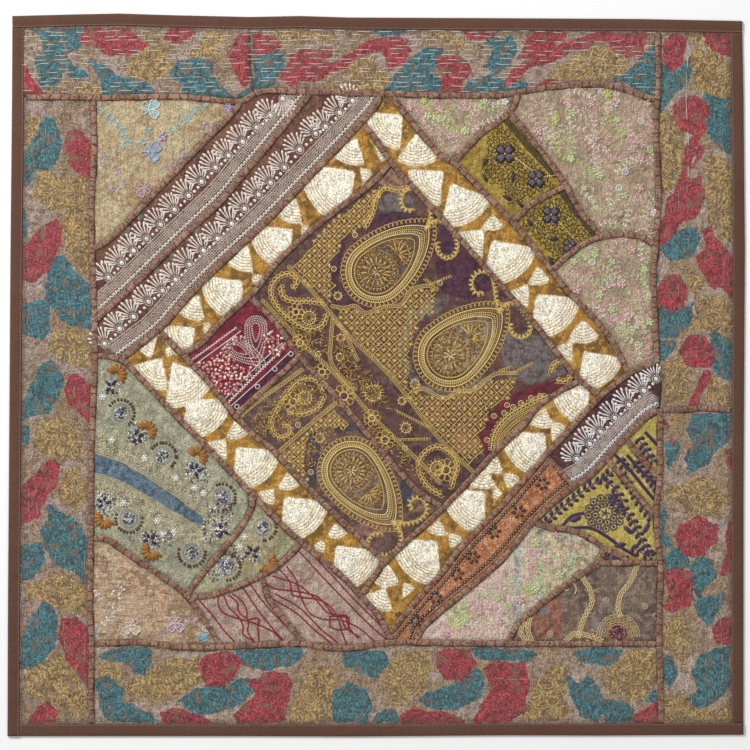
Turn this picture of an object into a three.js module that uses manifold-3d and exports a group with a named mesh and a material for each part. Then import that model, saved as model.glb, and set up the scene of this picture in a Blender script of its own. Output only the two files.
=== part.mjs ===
// A square patchwork tablecloth, laid flat: printed border panels, a ring of lace, beaded and
// embroidered patches round a set-on-point centre, padded cords laid along the seams, and a
// folded binding round the edge. Millimetres, +Z up, +Y towards the cloth's upper edge. The
// origin is on the surface that the cloth lies on, under the middle of its box.
import * as THREE from "three";
import { mergeVertices } from "three/addons/utils/BufferGeometryUtils.js";
import Module from "manifold-3d";

const wasm = await Module();
wasm.setup();

// Driving dimensions
const CLOTH_WIDTH = 1020; // across the widest part of the cloth
const SHEET = 2.0; // top cloth and its ground, quilted together, at a seam
const PUFF = 1.1; // how far a patch fills out between its seams
const PUFF_WAVE = 0.35; // how uneven that filling is
const GAP = 0.3; // between two pieces that touch
const BINDING_WIDTH = 16.5; // of the binding's upper leg
const BINDING_CLOTH = 0.6; // one layer of the binding
const BINDING_FOLD = 1.5; // the folded outer edge
const CORD_WIDTH = 8.6; // the padded cord along a seam
const CORD_HEIGHT = 2.5;
const CORD_STEP = 38; // between two sections of a cord
const RELIEF_STEP = 68; // between two points of the filling's height
const SEAM_FLAT = CORD_WIDTH / 2 + 1; // each side of a seam stays flat, so that the cord seats

const CORD_BASE = SHEET + GAP;
const BINDING_TOP = SHEET + GAP + BINDING_CLOTH;

// The photograph shows the cloth square on, so places on it are named by the photograph's
// pixels, x to the right and y down, and turned into millimetres by the cloth's width.
const EDGE = {
  top: [
    [12.4, 16], [70, 14.5], [120, 13.5], [165, 15], [250, 17], [300, 16], [350, 17.5], [500, 18.2],
    [640, 19], [742, 21],
  ],
  right: [[743.5, 100], [744.8, 250], [744, 400], [743.5, 500]],
  bottom: [[743.4, 734.8], [600, 735.5], [500, 735.3], [350, 736.5], [250, 736], [7.5, 736]],
  left: [[8, 600], [9.5, 400], [10.5, 250], [12, 100]],
};

// One row for each seam: the seams that it starts and ends on, if any, the cord laid along it,
// if any, and the points that it passes through. A seam is listed after those that it ends on.
const SEAMS = [
  {
    name: "right_upper", cord: "cord_right_upper",
    points: [
      [657, 5], [657.5, 30], [658.5, 75], [657, 101], [656, 120], [657, 155], [658.5, 190],
      [656, 243], [653.5, 275], [655, 320], [657, 362],
    ],
  },
  { name: "right_lace", points: [[657, 362], [661.5, 378], [662, 395], [660, 409]] },
  {
    name: "right_lower", cord: "cord_right_lower",
    points: [
      [660, 409], [660, 440], [659.5, 478], [656.5, 505], [657, 535], [660, 562], [659, 643],
      [660.5, 680], [661, 750],
    ],
  },
  {
    name: "right_panel", start: "right_lower", cord: "cord_right_panel",
    points: [
      [660, 410], [680, 410], [700, 408], [717, 409], [760, 411],
    ],
  },
  {
    name: "top", end: "right_upper", cord: "cord_top",
    points: [
      [0, 98], [60, 97], [95, 98], [140, 97], [190, 97.5], [225, 101], [240, 101.5], [262, 91.5],
      [300, 92], [384, 94], [440, 95.5], [500, 95], [525, 91], [580, 84.5], [602, 85], [622, 89],
      [657, 101],
    ],
  },
  { name: "top_panel", end: "top", points: [[251, 5], [250.5, 60], [254, 94]] },
  {
    name: "left", start: "top", cord: "cord_left",
    points: [
      [93, 98], [94.5, 150], [92, 200], [92, 240], [95, 320], [95, 355], [92, 440], [91, 540],
      [90.5, 620], [92, 644], [91, 690], [93, 750],
    ],
  },
  {
    name: "bottom", start: "left", end: "right_lower", cord: "cord_bottom",
    points: [
      [92, 644], [145, 642.5], [170, 646], [200, 647.5], [260, 645], [300, 643.5], [322, 647],
      [347, 648], [395, 642], [440, 643], [500, 643.5], [600, 643.5], [659, 643],
    ],
  },
  {
    name: "lace_first", start: "top", end: "left", cord: "cord_lace_first",
    points: [
      [242, 101], [230, 116], [205, 141], [155, 193], [130, 219], [110, 239], [93, 249],
    ],
  },
  {
    name: "lace_second", start: "top", end: "left", cord: "cord_lace_second",
    points: [
      [312, 92], [296, 112], [262, 153], [243, 175], [225, 197], [180, 240], [130, 289], [95, 322],
    ],
  },
  {
    name: "outer_lower_left", start: "left", end: "bottom", cord: "cord_outer_lower_left",
    points: [
      [95, 355], [108, 356.5], [122, 360], [140, 377], [165, 404], [225, 465], [250, 492],
      [300, 541], [340, 574], [362, 597], [380, 618], [393, 643],
    ],
  },
  {
    name: "outer_upper_left", start: "top", end: "outer_lower_left", cord: "cord_outer_upper_left",
    points: [
      [381, 94], [377, 104], [361, 123], [300, 187], [260, 228], [220, 265], [190, 295],
      [160, 329], [140, 345], [120, 358],
    ],
  },
  {
    name: "outer_lower_right", start: "right_upper", end: "outer_lower_left",
    cord: "cord_outer_lower_right",
    points: [
      [657, 362], [645, 366], [632, 372], [600, 397], [560, 440], [545, 456], [505, 502],
      [460, 549], [440, 575], [418, 599], [392, 633],
    ],
  },
  {
    name: "outer_upper_right", start: "top", end: "outer_lower_right",
    cord: "cord_outer_upper_right",
    points: [
      [391, 94.5], [400, 107], [420, 132], [440, 155], [455, 164], [500, 209], [520, 230],
      [545, 262], [565, 288], [590, 314], [610, 338], [629, 373],
    ],
  },
  {
    name: "inner_upper_right", start: "outer_upper_left", end: "outer_lower_right",
    cord: "cord_inner_upper_right",
    points: [
      [361, 123], [375, 138], [391, 162], [445, 222], [500, 284], [540, 330], [560, 357],
      [580, 380], [600, 397],
    ],
  },
  {
    name: "inner_lower_left", start: "outer_upper_left", cord: "cord_inner_lower_left",
    points: [
      [160, 331], [190, 362], [205, 378], [235, 415], [252, 433], [275, 452], [300, 479],
      [350, 529], [385, 562],
    ],
  },
  {
    name: "inner_lower_right", start: "inner_upper_right", end: "outer_lower_left",
    cord: "cord_inner_lower_right",
    points: [
      [580, 380], [562, 390], [540, 405], [520, 429], [500, 447], [443, 508], [400, 547],
      [385, 562], [373, 578], [361, 596],
    ],
  },
  {
    name: "inner_upper_left", start: "inner_upper_right", end: "inner_lower_left",
    cord: "cord_inner_upper_left",
    points: [
      [391, 162], [372, 183], [330, 215], [305, 236], [280, 259], [250, 296], [225, 318],
      [200, 344], [183, 356],
    ],
  },
  {
    name: "centre_long", start: "inner_upper_left", end: "inner_lower_right", cord: "cord_centre",
    points: [
      [250, 296], [275, 322], [300, 356], [345, 407], [395, 467], [420, 493], [443, 508],
    ],
  },
  {
    name: "centre_short", start: "centre_long", end: "inner_lower_left", cord: "cord_centre",
    points: [
      [300, 356], [280, 375], [235, 415],
    ],
  },
  {
    name: "sage_beige", start: "left", end: "bottom", cord: "cord_sage",
    points: [
      [91, 537], [108, 540], [130, 555], [170, 582], [187, 595], [200, 614], [222, 646],
    ],
  },
  {
    name: "sage_split", start: "outer_lower_left", end: "sage_beige", cord: "cord_sage",
    points: [
      [250, 492], [252, 506], [244, 523], [205, 571], [186, 594],
    ],
  },
  {
    name: "sage_taupe", start: "outer_lower_left", end: "sage_beige", cord: "cord_sage",
    points: [
      [301, 542], [288, 557], [270, 571], [245, 583], [215, 594], [189, 598],
    ],
  },
  {
    name: "taupe_split", start: "sage_taupe", end: "bottom", cord: "cord_sage",
    points: [
      [262, 575], [270, 600], [285, 620], [305, 644],
    ],
  },
  {
    name: "pale_mustard", start: "top", end: "outer_upper_right", cord: "cord_mustard",
    points: [
      [518, 92], [510, 112], [480, 135], [453, 163],
    ],
  },
  {
    name: "pale_split", start: "outer_upper_right", end: "right_upper", cord: "cord_mustard",
    points: [
      [551, 270], [580, 246], [601, 237], [638, 236], [656, 245],
    ],
  },
  {
    name: "mustard_pale", start: "pale_mustard", end: "pale_split", cord: "cord_mustard",
    points: [
      [510, 112], [542, 152], [566, 185], [577, 206], [601, 237],
    ],
  },
  {
    name: "mustard_split", start: "mustard_pale", end: "outer_upper_right", cord: "cord_mustard",
    points: [
      [566, 185], [548, 195], [530, 205], [514, 223],
    ],
  },
  {
    name: "orange_pale", start: "right_lower", end: "bottom", cord: "cord_orange",
    points: [
      [660, 410], [648, 416], [618, 446], [588, 478], [573, 487], [538, 517], [500, 561],
      [480, 579], [435, 616], [421, 630], [416, 643],
    ],
  },
  {
    name: "lace_end", start: "outer_lower_right", end: "orange_pale", cord: "cord_orange",
    points: [
      [545, 456], [560, 471], [573, 487],
    ],
  },
  {
    name: "yellow_upper", start: "orange_pale", end: "right_lower", cord: "cord_orange",
    points: [
      [625, 439], [650, 468], [659.5, 479],
    ],
  },
  {
    name: "yellow_middle", start: "orange_pale", end: "right_lower", cord: "cord_orange",
    points: [
      [606, 459], [620, 474], [646, 505], [656.5, 516],
    ],
  },
  {
    name: "pale_brown", end: "bottom", cord: "cord_brown",
    points: [
      [603, 548], [600, 562], [580, 575], [535, 609], [518, 624], [508, 643],
    ],
  },
  {
    name: "yellow_pale_upper", start: "orange_pale", end: "pale_brown", cord: "cord_brown",
    points: [
      [533, 523], [545, 527], [565, 529], [585, 535], [603, 548],
    ],
  },
  {
    name: "brown_top", start: "pale_brown", end: "right_lower", cord: "cord_brown",
    points: [
      [600, 562], [630, 563], [660, 562],
    ],
  },
  {
    name: "yellow_pale_lower", start: "pale_brown", end: "brown_top", cord: "cord_brown",
    points: [
      [603, 548], [615, 553], [629, 563],
    ],
  },
];

// One row for each patch: a place inside it and the colour of its ground.
const PATCHES = [
  { name: "border_top_left", at: [170, 60], colour: 0x7c7461 },
  { name: "border_top_right", at: [450, 60], colour: 0x867d68 },
  { name: "border_left", at: [55, 400], colour: 0x7d7262 },
  { name: "border_bottom", at: [400, 690], colour: 0x8a7a68 },
  { name: "border_right_upper", at: [700, 250], colour: 0x80735f },
  { name: "border_right_lower", at: [700, 550], colour: 0x857663 },
  { name: "cream_butterflies", at: [130, 150], colour: 0xab9468 },
  { name: "lace_band_first", at: [150, 240], colour: 0x6d4a3a },
  { name: "lace_band_second", at: [150, 300], colour: 0x6d4a3a },
  { name: "lace_band_third", at: [610, 420], colour: 0x5a3833 },
  { name: "scallop_upper_left", at: [280, 230], colour: 0xa8742c },
  { name: "scallop_upper_right", at: [480, 220], colour: 0xa8742c },
  { name: "scallop_lower_right", at: [480, 500], colour: 0xa8742c },
  { name: "scallop_lower_left", at: [240, 450], colour: 0xa8742c },
  { name: "centre_paisley_large", at: [400, 300], colour: 0x5b3f46 },
  { name: "centre_maroon", at: [240, 350], colour: 0x5c1725 },
  { name: "centre_paisley_small", at: [330, 450], colour: 0x6a5145 },
  { name: "sage_discs", at: [150, 480], colour: 0x9c9877 },
  { name: "sage_corner", at: [255, 550], colour: 0x958e70 },
  { name: "beige_butterflies", at: [130, 610], colour: 0xac9069 },
  { name: "taupe_left", at: [240, 615], colour: 0x8d786b },
  { name: "taupe_right", at: [320, 600], colour: 0x8d786b },
  { name: "pale_triangle", at: [440, 125], colour: 0x99876d },
  { name: "mustard_upper", at: [510, 170], colour: 0xa3883c },
  { name: "mustard_lower", at: [560, 225], colour: 0x95793a },
  { name: "pale_upper", at: [610, 150], colour: 0x9a8870 },
  { name: "pale_lower", at: [610, 290], colour: 0xa0917c },
  { name: "orange_beads", at: [485, 550], colour: 0xa8683d },
  { name: "yellow_upper", at: [648, 440], colour: 0xb7a657 },
  { name: "yellow_middle", at: [640, 480], colour: 0xb7a657 },
  { name: "yellow_flowers", at: [610, 520], colour: 0xb7a657 },
  { name: "yellow_sliver", at: [608, 557], colour: 0xb7a657 },
  { name: "pale_mint", at: [500, 600], colour: 0xb3a48a },
  { name: "brown_braid", at: [600, 600], colour: 0x665044 },
];

// The binding is four strips. A row is a strip's place, and a cut is where one strip meets the
// next: from an inner corner outward.
const BINDING = [
  { name: "binding_top", at: [376, 22] },
  { name: "binding_right", at: [738, 376] },
  { name: "binding_bottom", at: [376, 730] },
  { name: "binding_left", at: [15, 376] },
];
const BINDING_CUTS = [
  { corner: EDGE.top[0], outward: [-1, 0.01] },
  { corner: EDGE.top.at(-1), outward: [1, 0.01] },
  { corner: EDGE.bottom[0], outward: [1, 0] },
  { corner: EDGE.bottom.at(-1), outward: [0.02, -1] },
];
const BINDING_COLOUR = 0x5e3f30;
const CORD_COLOUR = 0x8a6a5a;

// Places
const edgePixels = [...EDGE.top, ...EDGE.right, ...EDGE.bottom, ...EDGE.left];
const xs = edgePixels.map(([x]) => x);
const ys = edgePixels.map(([, y]) => y);
const middle = [xs, ys].map((v) => (Math.min(...v) + Math.max(...v)) / 2);
const MM_PER_PIXEL = CLOTH_WIDTH / (Math.max(...xs) - Math.min(...xs));

// A place in the photograph as a place on the cloth.
function place([x, y]) {
  return new THREE.Vector3((x - middle[0]) * MM_PER_PIXEL, (middle[1] - y) * MM_PER_PIXEL, 0);
}

// The cloth's outline moved in by a distance, with mitred corners.
function outline(inset) {
  const points = edgePixels.map(place);
  const count = points.length;
  return points.map((p, i) => {
    const before = p.clone().sub(points[(i + count - 1) % count]).normalize();
    const after = points[(i + 1) % count].clone().sub(p).normalize();
    // The outline runs clockwise, so its inside is to the right.
    const [a, b] = [before, after].map((d) => new THREE.Vector3(d.y, -d.x, 0));
    const mitre = a.clone().add(b).normalize();
    return p.clone().addScaledVector(mitre, inset / mitre.dot(a));
  });
}

// Solids
function solid(geometry) {
  for (const name of ["normal", "uv"]) geometry.deleteAttribute(name);
  const merged = mergeVertices(geometry, 1e-4);
  const mesh = new wasm.Mesh({
    numProp: 3,
    vertProperties: merged.attributes.position.array,
    triVerts: new Uint32Array(merged.index.array),
  });
  return new wasm.Manifold(mesh);
}

function prism(points, low, high) {
  const shape = new THREE.Shape(points.map((p) => new THREE.Vector2(p.x, p.y)));
  const geometry = new THREE.ExtrudeGeometry(shape, { depth: high - low, bevelEnabled: false });
  return solid(geometry.translate(0, 0, low));
}

function union(solids) {
  return solids.reduce((a, b) => a.add(b));
}

// A section swept along a curve. The section's x points down and its y to the curve's left.
function swept(curve, section) {
  const steps = Math.max(2, Math.round(curve.getLength() / CORD_STEP));
  const shape = new THREE.Shape(section.map(([x, y]) => new THREE.Vector2(x, y)));
  const settings = { steps, bevelEnabled: false, extrudePath: curve };
  return solid(new THREE.ExtrudeGeometry(shape, settings));
}

// A wall along a curve, from one height to another.
function wall(curve, width, low, high) {
  const half = width / 2;
  return swept(curve, [[-high, -half], [-low, -half], [-low, half], [-high, half]]);
}

// A padded cord with a half-round top, grown all round by a margin.
function paddedCord(curve, margin) {
  const [half, height, base] = [CORD_WIDTH / 2 + margin, CORD_HEIGHT + margin, CORD_BASE - margin];
  const round = [0, 60, 120, 180].map((degrees) => {
    const angle = THREE.MathUtils.degToRad(degrees);
    return [-CORD_BASE - height * Math.sin(angle), half * Math.cos(angle)];
  });
  const floor = margin > 0 ? [[-base, -half], [-base, half]] : [];
  return swept(curve, [...round, ...floor]);
}

// Seams
function nearestOn(curve, point) {
  const steps = Math.max(2, Math.round(curve.getLength() / CORD_STEP));
  const points = curve.getSpacedPoints(steps);
  const segment = new THREE.Line3();
  const found = points.slice(1).map((p, i) => {
    segment.set(points[i], p);
    return segment.closestPointToPoint(point, true, new THREE.Vector3());
  });
  return found.sort((a, b) => a.distanceTo(point) - b.distanceTo(point))[0];
}

const curves = {};
for (const { name, start, end, points } of SEAMS) {
  const along = points.map(place);
  if (start) along[0] = nearestOn(curves[start], along[0]);
  if (end) along[along.length - 1] = nearestOn(curves[end], along.at(-1));
  curves[name] = new THREE.CatmullRomCurve3(along, false, "centripetal");
}
// The two seams that meet in one point at the lower corner of the centre do so exactly.
const lowerLeft = curves.inner_lower_left.points;
lowerLeft.push(nearestOn(curves.inner_lower_right, lowerLeft.pop()));

// How far the filling lifts a patch at a place, uneven as hand quilting is.
function filling(x, y) {
  const broad = Math.sin(x / 31 + y / 53) * Math.cos(y / 37 - x / 71);
  const narrow = 0.5 * Math.sin(x / 17 - y / 23);
  return PUFF + PUFF_WAVE * (broad + narrow);
}

function filledTop() {
  const size = CLOTH_WIDTH + 2 * RELIEF_STEP;
  const cells = Math.round(size / RELIEF_STEP);
  const geometry = new THREE.BoxGeometry(size, size, SHEET, cells, cells, 1);
  geometry.translate(0, 0, SHEET);
  const position = geometry.attributes.position;
  for (let i = 0; i < position.count; i++) {
    const [x, y, z] = [position.getX(i), position.getY(i), position.getZ(i)];
    position.setZ(i, z > SHEET ? SHEET + filling(x, y) : SHEET / 2);
  }
  return solid(geometry);
}

// All patches in one: a flat sheet, the filled parts between the seams, and the step at the
// edge where the binding's lower leg lies under the panels.
function quiltedField() {
  const flat = prism(outline(BINDING_FOLD + GAP), 0, SHEET);
  const leg = outline(BINDING_WIDTH + GAP);
  const underLeg = prism(outline(-1), -1, BINDING_CLOTH + GAP).subtract(prism(leg, -2, SHEET));
  const seams = SEAMS.map(({ name }) => curves[name]);
  const flatSeams = union(seams.map((curve) => wall(curve, 2 * SEAM_FLAT, -1, 9)));
  const panels = prism(outline(BINDING_WIDTH + 1), 0, 9);
  const filled = filledTop().intersect(panels).subtract(flatSeams);
  const cuts = union(seams.map((curve) => wall(curve, GAP, -2, 9)));
  return flat.subtract(underLeg).add(filled).subtract(cuts);
}

// The folded strip round the edge: two legs and the fold between them.
function bindingRing() {
  const [outer, inner] = [outline(0), outline(BINDING_WIDTH)];
  const middleOfRing = prism(inner, -1, BINDING_TOP + 1);
  const slot = prism(outline(BINDING_FOLD), BINDING_CLOTH, SHEET + GAP);
  const cuts = union(
    BINDING_CUTS.map(({ corner, outward }) => {
      const [x, y] = outward;
      const start = inner[edgePixels.indexOf(corner)].clone();
      const end = start.clone().add({ x: x * 30, y: y * 30, z: 0 });
      start.lerp(end, -0.01);
      return wall(new THREE.LineCurve3(start, end), GAP, -1, BINDING_TOP + 1);
    }),
  );
  return prism(outer, 0, BINDING_TOP).subtract(middleOfRing).subtract(slot).subtract(cuts);
}

// The separate bodies of a solid, each named by the row whose place is inside it.
function named(whole, rows) {
  const bodies = whole.decompose();
  const corners = [[-1, -1], [1, -1], [1, 1], [-1, 1]];
  return rows.map((row) => {
    const at = place(row.at);
    const square = corners.map(([x, y]) => at.clone().add({ x, y, z: 0 }));
    const post = prism(square, -1, 9);
    const found = bodies.filter((body) => body.intersect(post).volume() > 0);
    if (found.length !== 1) throw new Error(`${row.name} marks ${found.length} pieces`);
    return { ...row, body: found[0] };
  });
}

// The padded cords, one solid for each cord's name. A cord that ends on another, or at the
// binding, stops a gap short of it.
function cords() {
  const field = prism(outline(BINDING_WIDTH + GAP), -2, 10);
  const bindingRoom = prism(outline(-5), -1, 9).subtract(field);
  const made = [];
  for (const name of new Set(SEAMS.map((s) => s.cord).filter(Boolean))) {
    const runs = SEAMS.filter((s) => s.cord === name).map((s) => curves[s.name]);
    const whole = union(runs.map((curve) => paddedCord(curve, 0))).subtract(bindingRoom);
    const free = made.reduce((rest, other) => rest.subtract(other.room), whole);
    const [body] = free.decompose().sort((a, b) => b.volume() - a.volume());
    const room = union(runs.map((curve) => paddedCord(curve, GAP)));
    made.push({ name, body, room });
  }
  return made;
}

function meshOf(name, body, colour, roughness) {
  const { vertProperties, triVerts } = body.getMesh();
  const geometry = new THREE.BufferGeometry();
  geometry.setAttribute("position", new THREE.BufferAttribute(vertProperties, 3));
  geometry.setIndex(new THREE.BufferAttribute(triVerts, 1));
  const shaded = geometry.toNonIndexed();
  shaded.computeVertexNormals();
  const cloth = new THREE.MeshStandardMaterial({ color: colour, roughness, metalness: 0 });
  const mesh = new THREE.Mesh(shaded, cloth);
  mesh.name = name;
  return mesh;
}

const tablecloth = new THREE.Group();
for (const { name, body, colour } of named(quiltedField(), PATCHES)) {
  tablecloth.add(meshOf(name, body, colour, 0.85));
}
for (const { name, body } of named(bindingRing(), BINDING)) {
  tablecloth.add(meshOf(name, body, BINDING_COLOUR, 0.9));
}
for (const { name, body } of cords()) {
  tablecloth.add(meshOf(name, body, CORD_COLOUR, 0.85));
}

export default tablecloth;
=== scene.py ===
"""A square patchwork tablecloth, laid flat and seen from straight above.

Printed border panels surround a field of embroidered and beaded patches. Padded cords lie on
the seams between them, and a folded binding runs round the edge. Places on the cloth are
named by the photograph's pixels, which the cloth's own width turns into metres.
"""

from __future__ import annotations

import logging
import math
from collections.abc import Callable, Iterable, Sequence
from dataclasses import dataclass, field
from enum import Enum

import bmesh
import bpy
import numpy as np
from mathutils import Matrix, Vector
from mathutils.geometry import box_fit_2d, delaunay_2d_cdt
from mathutils.kdtree import KDTree


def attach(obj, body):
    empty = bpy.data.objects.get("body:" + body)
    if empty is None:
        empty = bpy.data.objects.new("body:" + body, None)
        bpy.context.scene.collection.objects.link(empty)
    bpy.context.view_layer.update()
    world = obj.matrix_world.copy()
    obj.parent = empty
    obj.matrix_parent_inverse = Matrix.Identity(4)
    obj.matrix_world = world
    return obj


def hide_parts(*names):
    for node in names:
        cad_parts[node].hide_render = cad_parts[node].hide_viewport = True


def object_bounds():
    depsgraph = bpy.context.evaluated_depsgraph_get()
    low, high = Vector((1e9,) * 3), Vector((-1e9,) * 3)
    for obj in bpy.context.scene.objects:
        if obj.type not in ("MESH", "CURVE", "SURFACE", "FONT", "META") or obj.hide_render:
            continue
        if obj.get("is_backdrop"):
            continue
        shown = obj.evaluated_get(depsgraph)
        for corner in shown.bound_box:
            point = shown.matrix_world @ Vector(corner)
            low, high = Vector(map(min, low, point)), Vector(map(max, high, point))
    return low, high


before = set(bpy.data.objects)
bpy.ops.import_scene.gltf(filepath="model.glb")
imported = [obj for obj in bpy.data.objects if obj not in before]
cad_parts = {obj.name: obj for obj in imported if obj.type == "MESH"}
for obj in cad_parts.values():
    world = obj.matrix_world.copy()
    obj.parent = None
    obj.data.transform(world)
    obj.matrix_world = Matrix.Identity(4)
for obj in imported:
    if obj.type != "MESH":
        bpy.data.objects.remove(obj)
CAD_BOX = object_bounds()
LOG = logging.getLogger("tablecloth")

Point = Sequence[float]
Colour = tuple[int, int, int]

# Driving sizes in metres, as in the solids
SHEET = 0.0020
PUFF = 0.0011
GAP = 0.0003
CORD_WIDTH = 0.0086
BINDING_WIDTH = 0.0165
BINDING_CLOTH = 0.0006
# Where the solids are cut to read their outlines
CUT_HEIGHT = 0.0015
# The cloth's box in the photograph: left, upper, right and lower edge, and the photograph's side
PHOTO_LEFT, PHOTO_UPPER, PHOTO_RIGHT, PHOTO_LOWER = 7.5, 13.5, 744.8, 736.5
PHOTO_SIDE = 750.0
PIXEL = (CAD_BOX[1].x - CAD_BOX[0].x) / (PHOTO_RIGHT - PHOTO_LEFT)
PHOTO_MIDDLE = np.array([(PHOTO_LEFT + PHOTO_RIGHT) / 2, (PHOTO_UPPER + PHOTO_LOWER) / 2])


def place(points: Iterable[Point]) -> np.ndarray:
    """Turns places in the photograph into places on the cloth.

    Args:
        points: pixels, x to the right and y down.

    Returns:
        One row for each point, in metres, y up.
    """
    offset = np.asarray(points, float).reshape(-1, 2) - PHOTO_MIDDLE
    return offset * (PIXEL, -PIXEL)


def linear(colour: Sequence[float]) -> tuple[float, float, float, float]:
    """Turns a colour of 0 to 255, as it looks, into the shader's linear colour."""
    parts = [c / 255 for c in colour[:3]]
    return (*(c / 12.92 if c <= 0.04045 else ((c + 0.055) / 1.055) ** 2.4 for c in parts), 1.0)


# Node trees


class Wire:
    """The output of a node, on which Python's operators add Math nodes."""

    def __init__(self, net: Net, socket: bpy.types.NodeSocket) -> None:
        """Wraps a socket of a net."""
        self.net, self.socket = net, socket

    def _math(self, operation: str, *values: Wire | float) -> Wire:
        """Adds one Math node on these values."""
        return self.net.add("ShaderNodeMath", {"operation": operation}, dict(enumerate(values)))

    def __add__(self, other: Wire | float) -> Wire:
        """Adds a value."""
        return self._math("ADD", self, other)

    __radd__ = __add__

    def __sub__(self, other: Wire | float) -> Wire:
        """Takes a value away."""
        return self._math("SUBTRACT", self, other)

    def __rsub__(self, other: float) -> Wire:
        """Takes this away from a number."""
        return self._math("SUBTRACT", other, self)

    def __mul__(self, other: Wire | float) -> Wire:
        """Multiplies by a value."""
        return self._math("MULTIPLY", self, other)

    __rmul__ = __mul__

    def __truediv__(self, other: Wire | float) -> Wire:
        """Divides by a value."""
        return self._math("DIVIDE", self, other)

    def __abs__(self) -> Wire:
        """Drops the sign."""
        return self._math("ABSOLUTE", self)

    def below(self, limit: Wire | float, soft: float) -> Wire:
        """A mask of 1 below a limit and 0 above it.

        Args:
            limit: where the mask is half.
            soft: the width of its edge, in this value's unit.

        Returns:
            The mask.
        """
        share = (limit - self) / soft + 0.5
        share.socket.node.use_clamp = True
        return share

    def wave(self) -> Wire:
        """The sine of this value."""
        return self._math("SINE", self)

    def least(self, other: Wire | float) -> Wire:
        """The smaller of two values."""
        return self._math("MINIMUM", self, other)

    def most(self, other: Wire | float) -> Wire:
        """The larger of two values."""
        return self._math("MAXIMUM", self, other)


class Net:
    """A node tree under construction, for a material or for Geometry Nodes."""

    def __init__(self, tree: bpy.types.NodeTree) -> None:
        """Wraps a tree."""
        self.tree = tree

    def add(
        self,
        kind: str,
        settings: dict[str, object] | None = None,
        inputs: dict[int | str, object] | None = None,
        output: int | str = 0,
    ) -> Wire:
        """Adds one node.

        Args:
            kind: the node's type.
            settings: its properties, set before its inputs.
            inputs: the value or wire of each socket, by its name or index.
            output: the name or index of the socket to return.

        Returns:
            The wire of that output.
        """
        node = self.tree.nodes.new(kind)
        for name, value in (settings or {}).items():
            setattr(node, name, value)
        for key, value in (inputs or {}).items():
            sockets = [s for s in node.inputs if s.enabled and s.name == key]
            socket = node.inputs[key] if isinstance(key, int) else sockets[0]
            if isinstance(value, Wire):
                self.tree.links.new(value.socket, socket)
            else:
                socket.default_value = value
        if isinstance(output, int):
            found = node.outputs[output] if len(node.outputs) > output else None
        else:
            found = [s for s in node.outputs if s.enabled and s.name == output][0]
        return Wire(self, found)

    def mix(self, factor: Wire | float, a: Wire | tuple, b: Wire | tuple, blend: str = "MIX") -> Wire:
        """Mixes two colours.

        Args:
            factor: how much of the second.
            a: the first colour.
            b: the second colour.
            blend: the Mix node's way of blending.

        Returns:
            The mixed colour.
        """
        kinds = {"data_type": "RGBA", "blend_type": blend}
        return self.add("ShaderNodeMix", kinds, {0: factor, 6: a, 7: b}, 2)

    def noise(self, at: Wire, scale: float, detail: float = 2.0, output: int = 0) -> Wire:
        """A noise of 0 to 1 round 0.5, with so many cells to the metre."""
        inputs = {"Vector": at, "Scale": scale, "Detail": detail}
        return self.add("ShaderNodeTexNoise", None, inputs, output)

    def attribute(self, name: str, output: str = "Fac") -> Wire:
        """Reads a mesh attribute in a material."""
        return self.add("ShaderNodeAttribute", {"attribute_name": name}, None, output)


def material(name: str, build: Callable[[Net, Wire, Callable], None],
             **constants: object) -> bpy.types.Material:
    """Makes a material with one principled shader.

    Args:
        name: the material's name.
        build: a function of the net, the Object coordinates and a function that links a wire
            to one of the shader's sockets.
        constants: the shader's sockets that are the same all over, with _ for a space.

    Returns:
        The material.
    """
    made = bpy.data.materials.new(name)
    made.use_nodes = True
    net = Net(made.node_tree)
    shader = made.node_tree.nodes["Principled BSDF"]
    for socket, value in constants.items():
        shader.inputs[socket.replace("_", " ")].default_value = value
    at = net.add("ShaderNodeTexCoord", None, None, "Object")

    def feed(socket: str, wire: Wire) -> None:
        """Links a wire to the shader."""
        net.tree.links.new(wire.socket, shader.inputs[socket])

    build(net, at, feed)
    return made


# Lines on the cloth


def smooth(points: Iterable[Point], step: float = 0.003) -> np.ndarray:
    """A centripetal Catmull-Rom curve through points.

    Args:
        points: places in metres.
        step: the distance between two points of the result.

    Returns:
        Points along the curve, evenly spaced.
    """
    p = np.asarray(points, float)
    p = np.vstack([2 * p[0] - p[1], p, 2 * p[-1] - p[-2]])
    parts = []
    for a, b, c, d in zip(p, p[1:], p[2:], p[3:]):
        t1, t2, t3 = np.cumsum([max(np.linalg.norm(v - u) ** 0.5, 1e-6) for u,
                                v in ((a, b), (b, c), (c, d))])
        t = np.linspace(t1, t2, 12, endpoint=False)[:, None]
        ab, bc, cd = (
            a + (b - a) * t / t1,
            b + (c - b) * (t - t1) / (t2 - t1),
            c + (d - c) * (t - t2) / (t3 - t2),
        )
        abc, bcd = ab + (bc - ab) * t / t2, bc + (cd - bc) * (t - t1) / (t3 - t1)
        parts.append(abc + (bcd - abc) * (t - t1) / (t2 - t1))
    return resample(np.vstack([*parts, p[-2:-1]]), step)


def lengths(path: np.ndarray) -> np.ndarray:
    """The distance along a path to each of its points."""
    return np.concatenate([[0.0], np.cumsum(np.linalg.norm(np.diff(path, axis=0), axis=1))])


def resample(path: np.ndarray, step: float, start: float = 0.0, end: float = 0.0) -> np.ndarray:
    """Spaces a path's points evenly.

    Args:
        path: points in order.
        step: about how far apart the new points are.
        start: how much is cut off the beginning.
        end: how much is cut off the end.

    Returns:
        The new points.
    """
    along = lengths(path)
    last = max(along[-1] - end, start + 1e-5)
    at = np.linspace(start, last, max(2, round((last - start) / step) + 1))
    return np.column_stack([np.interp(at, along, path[:, k]) for k in range(path.shape[1])])


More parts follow.
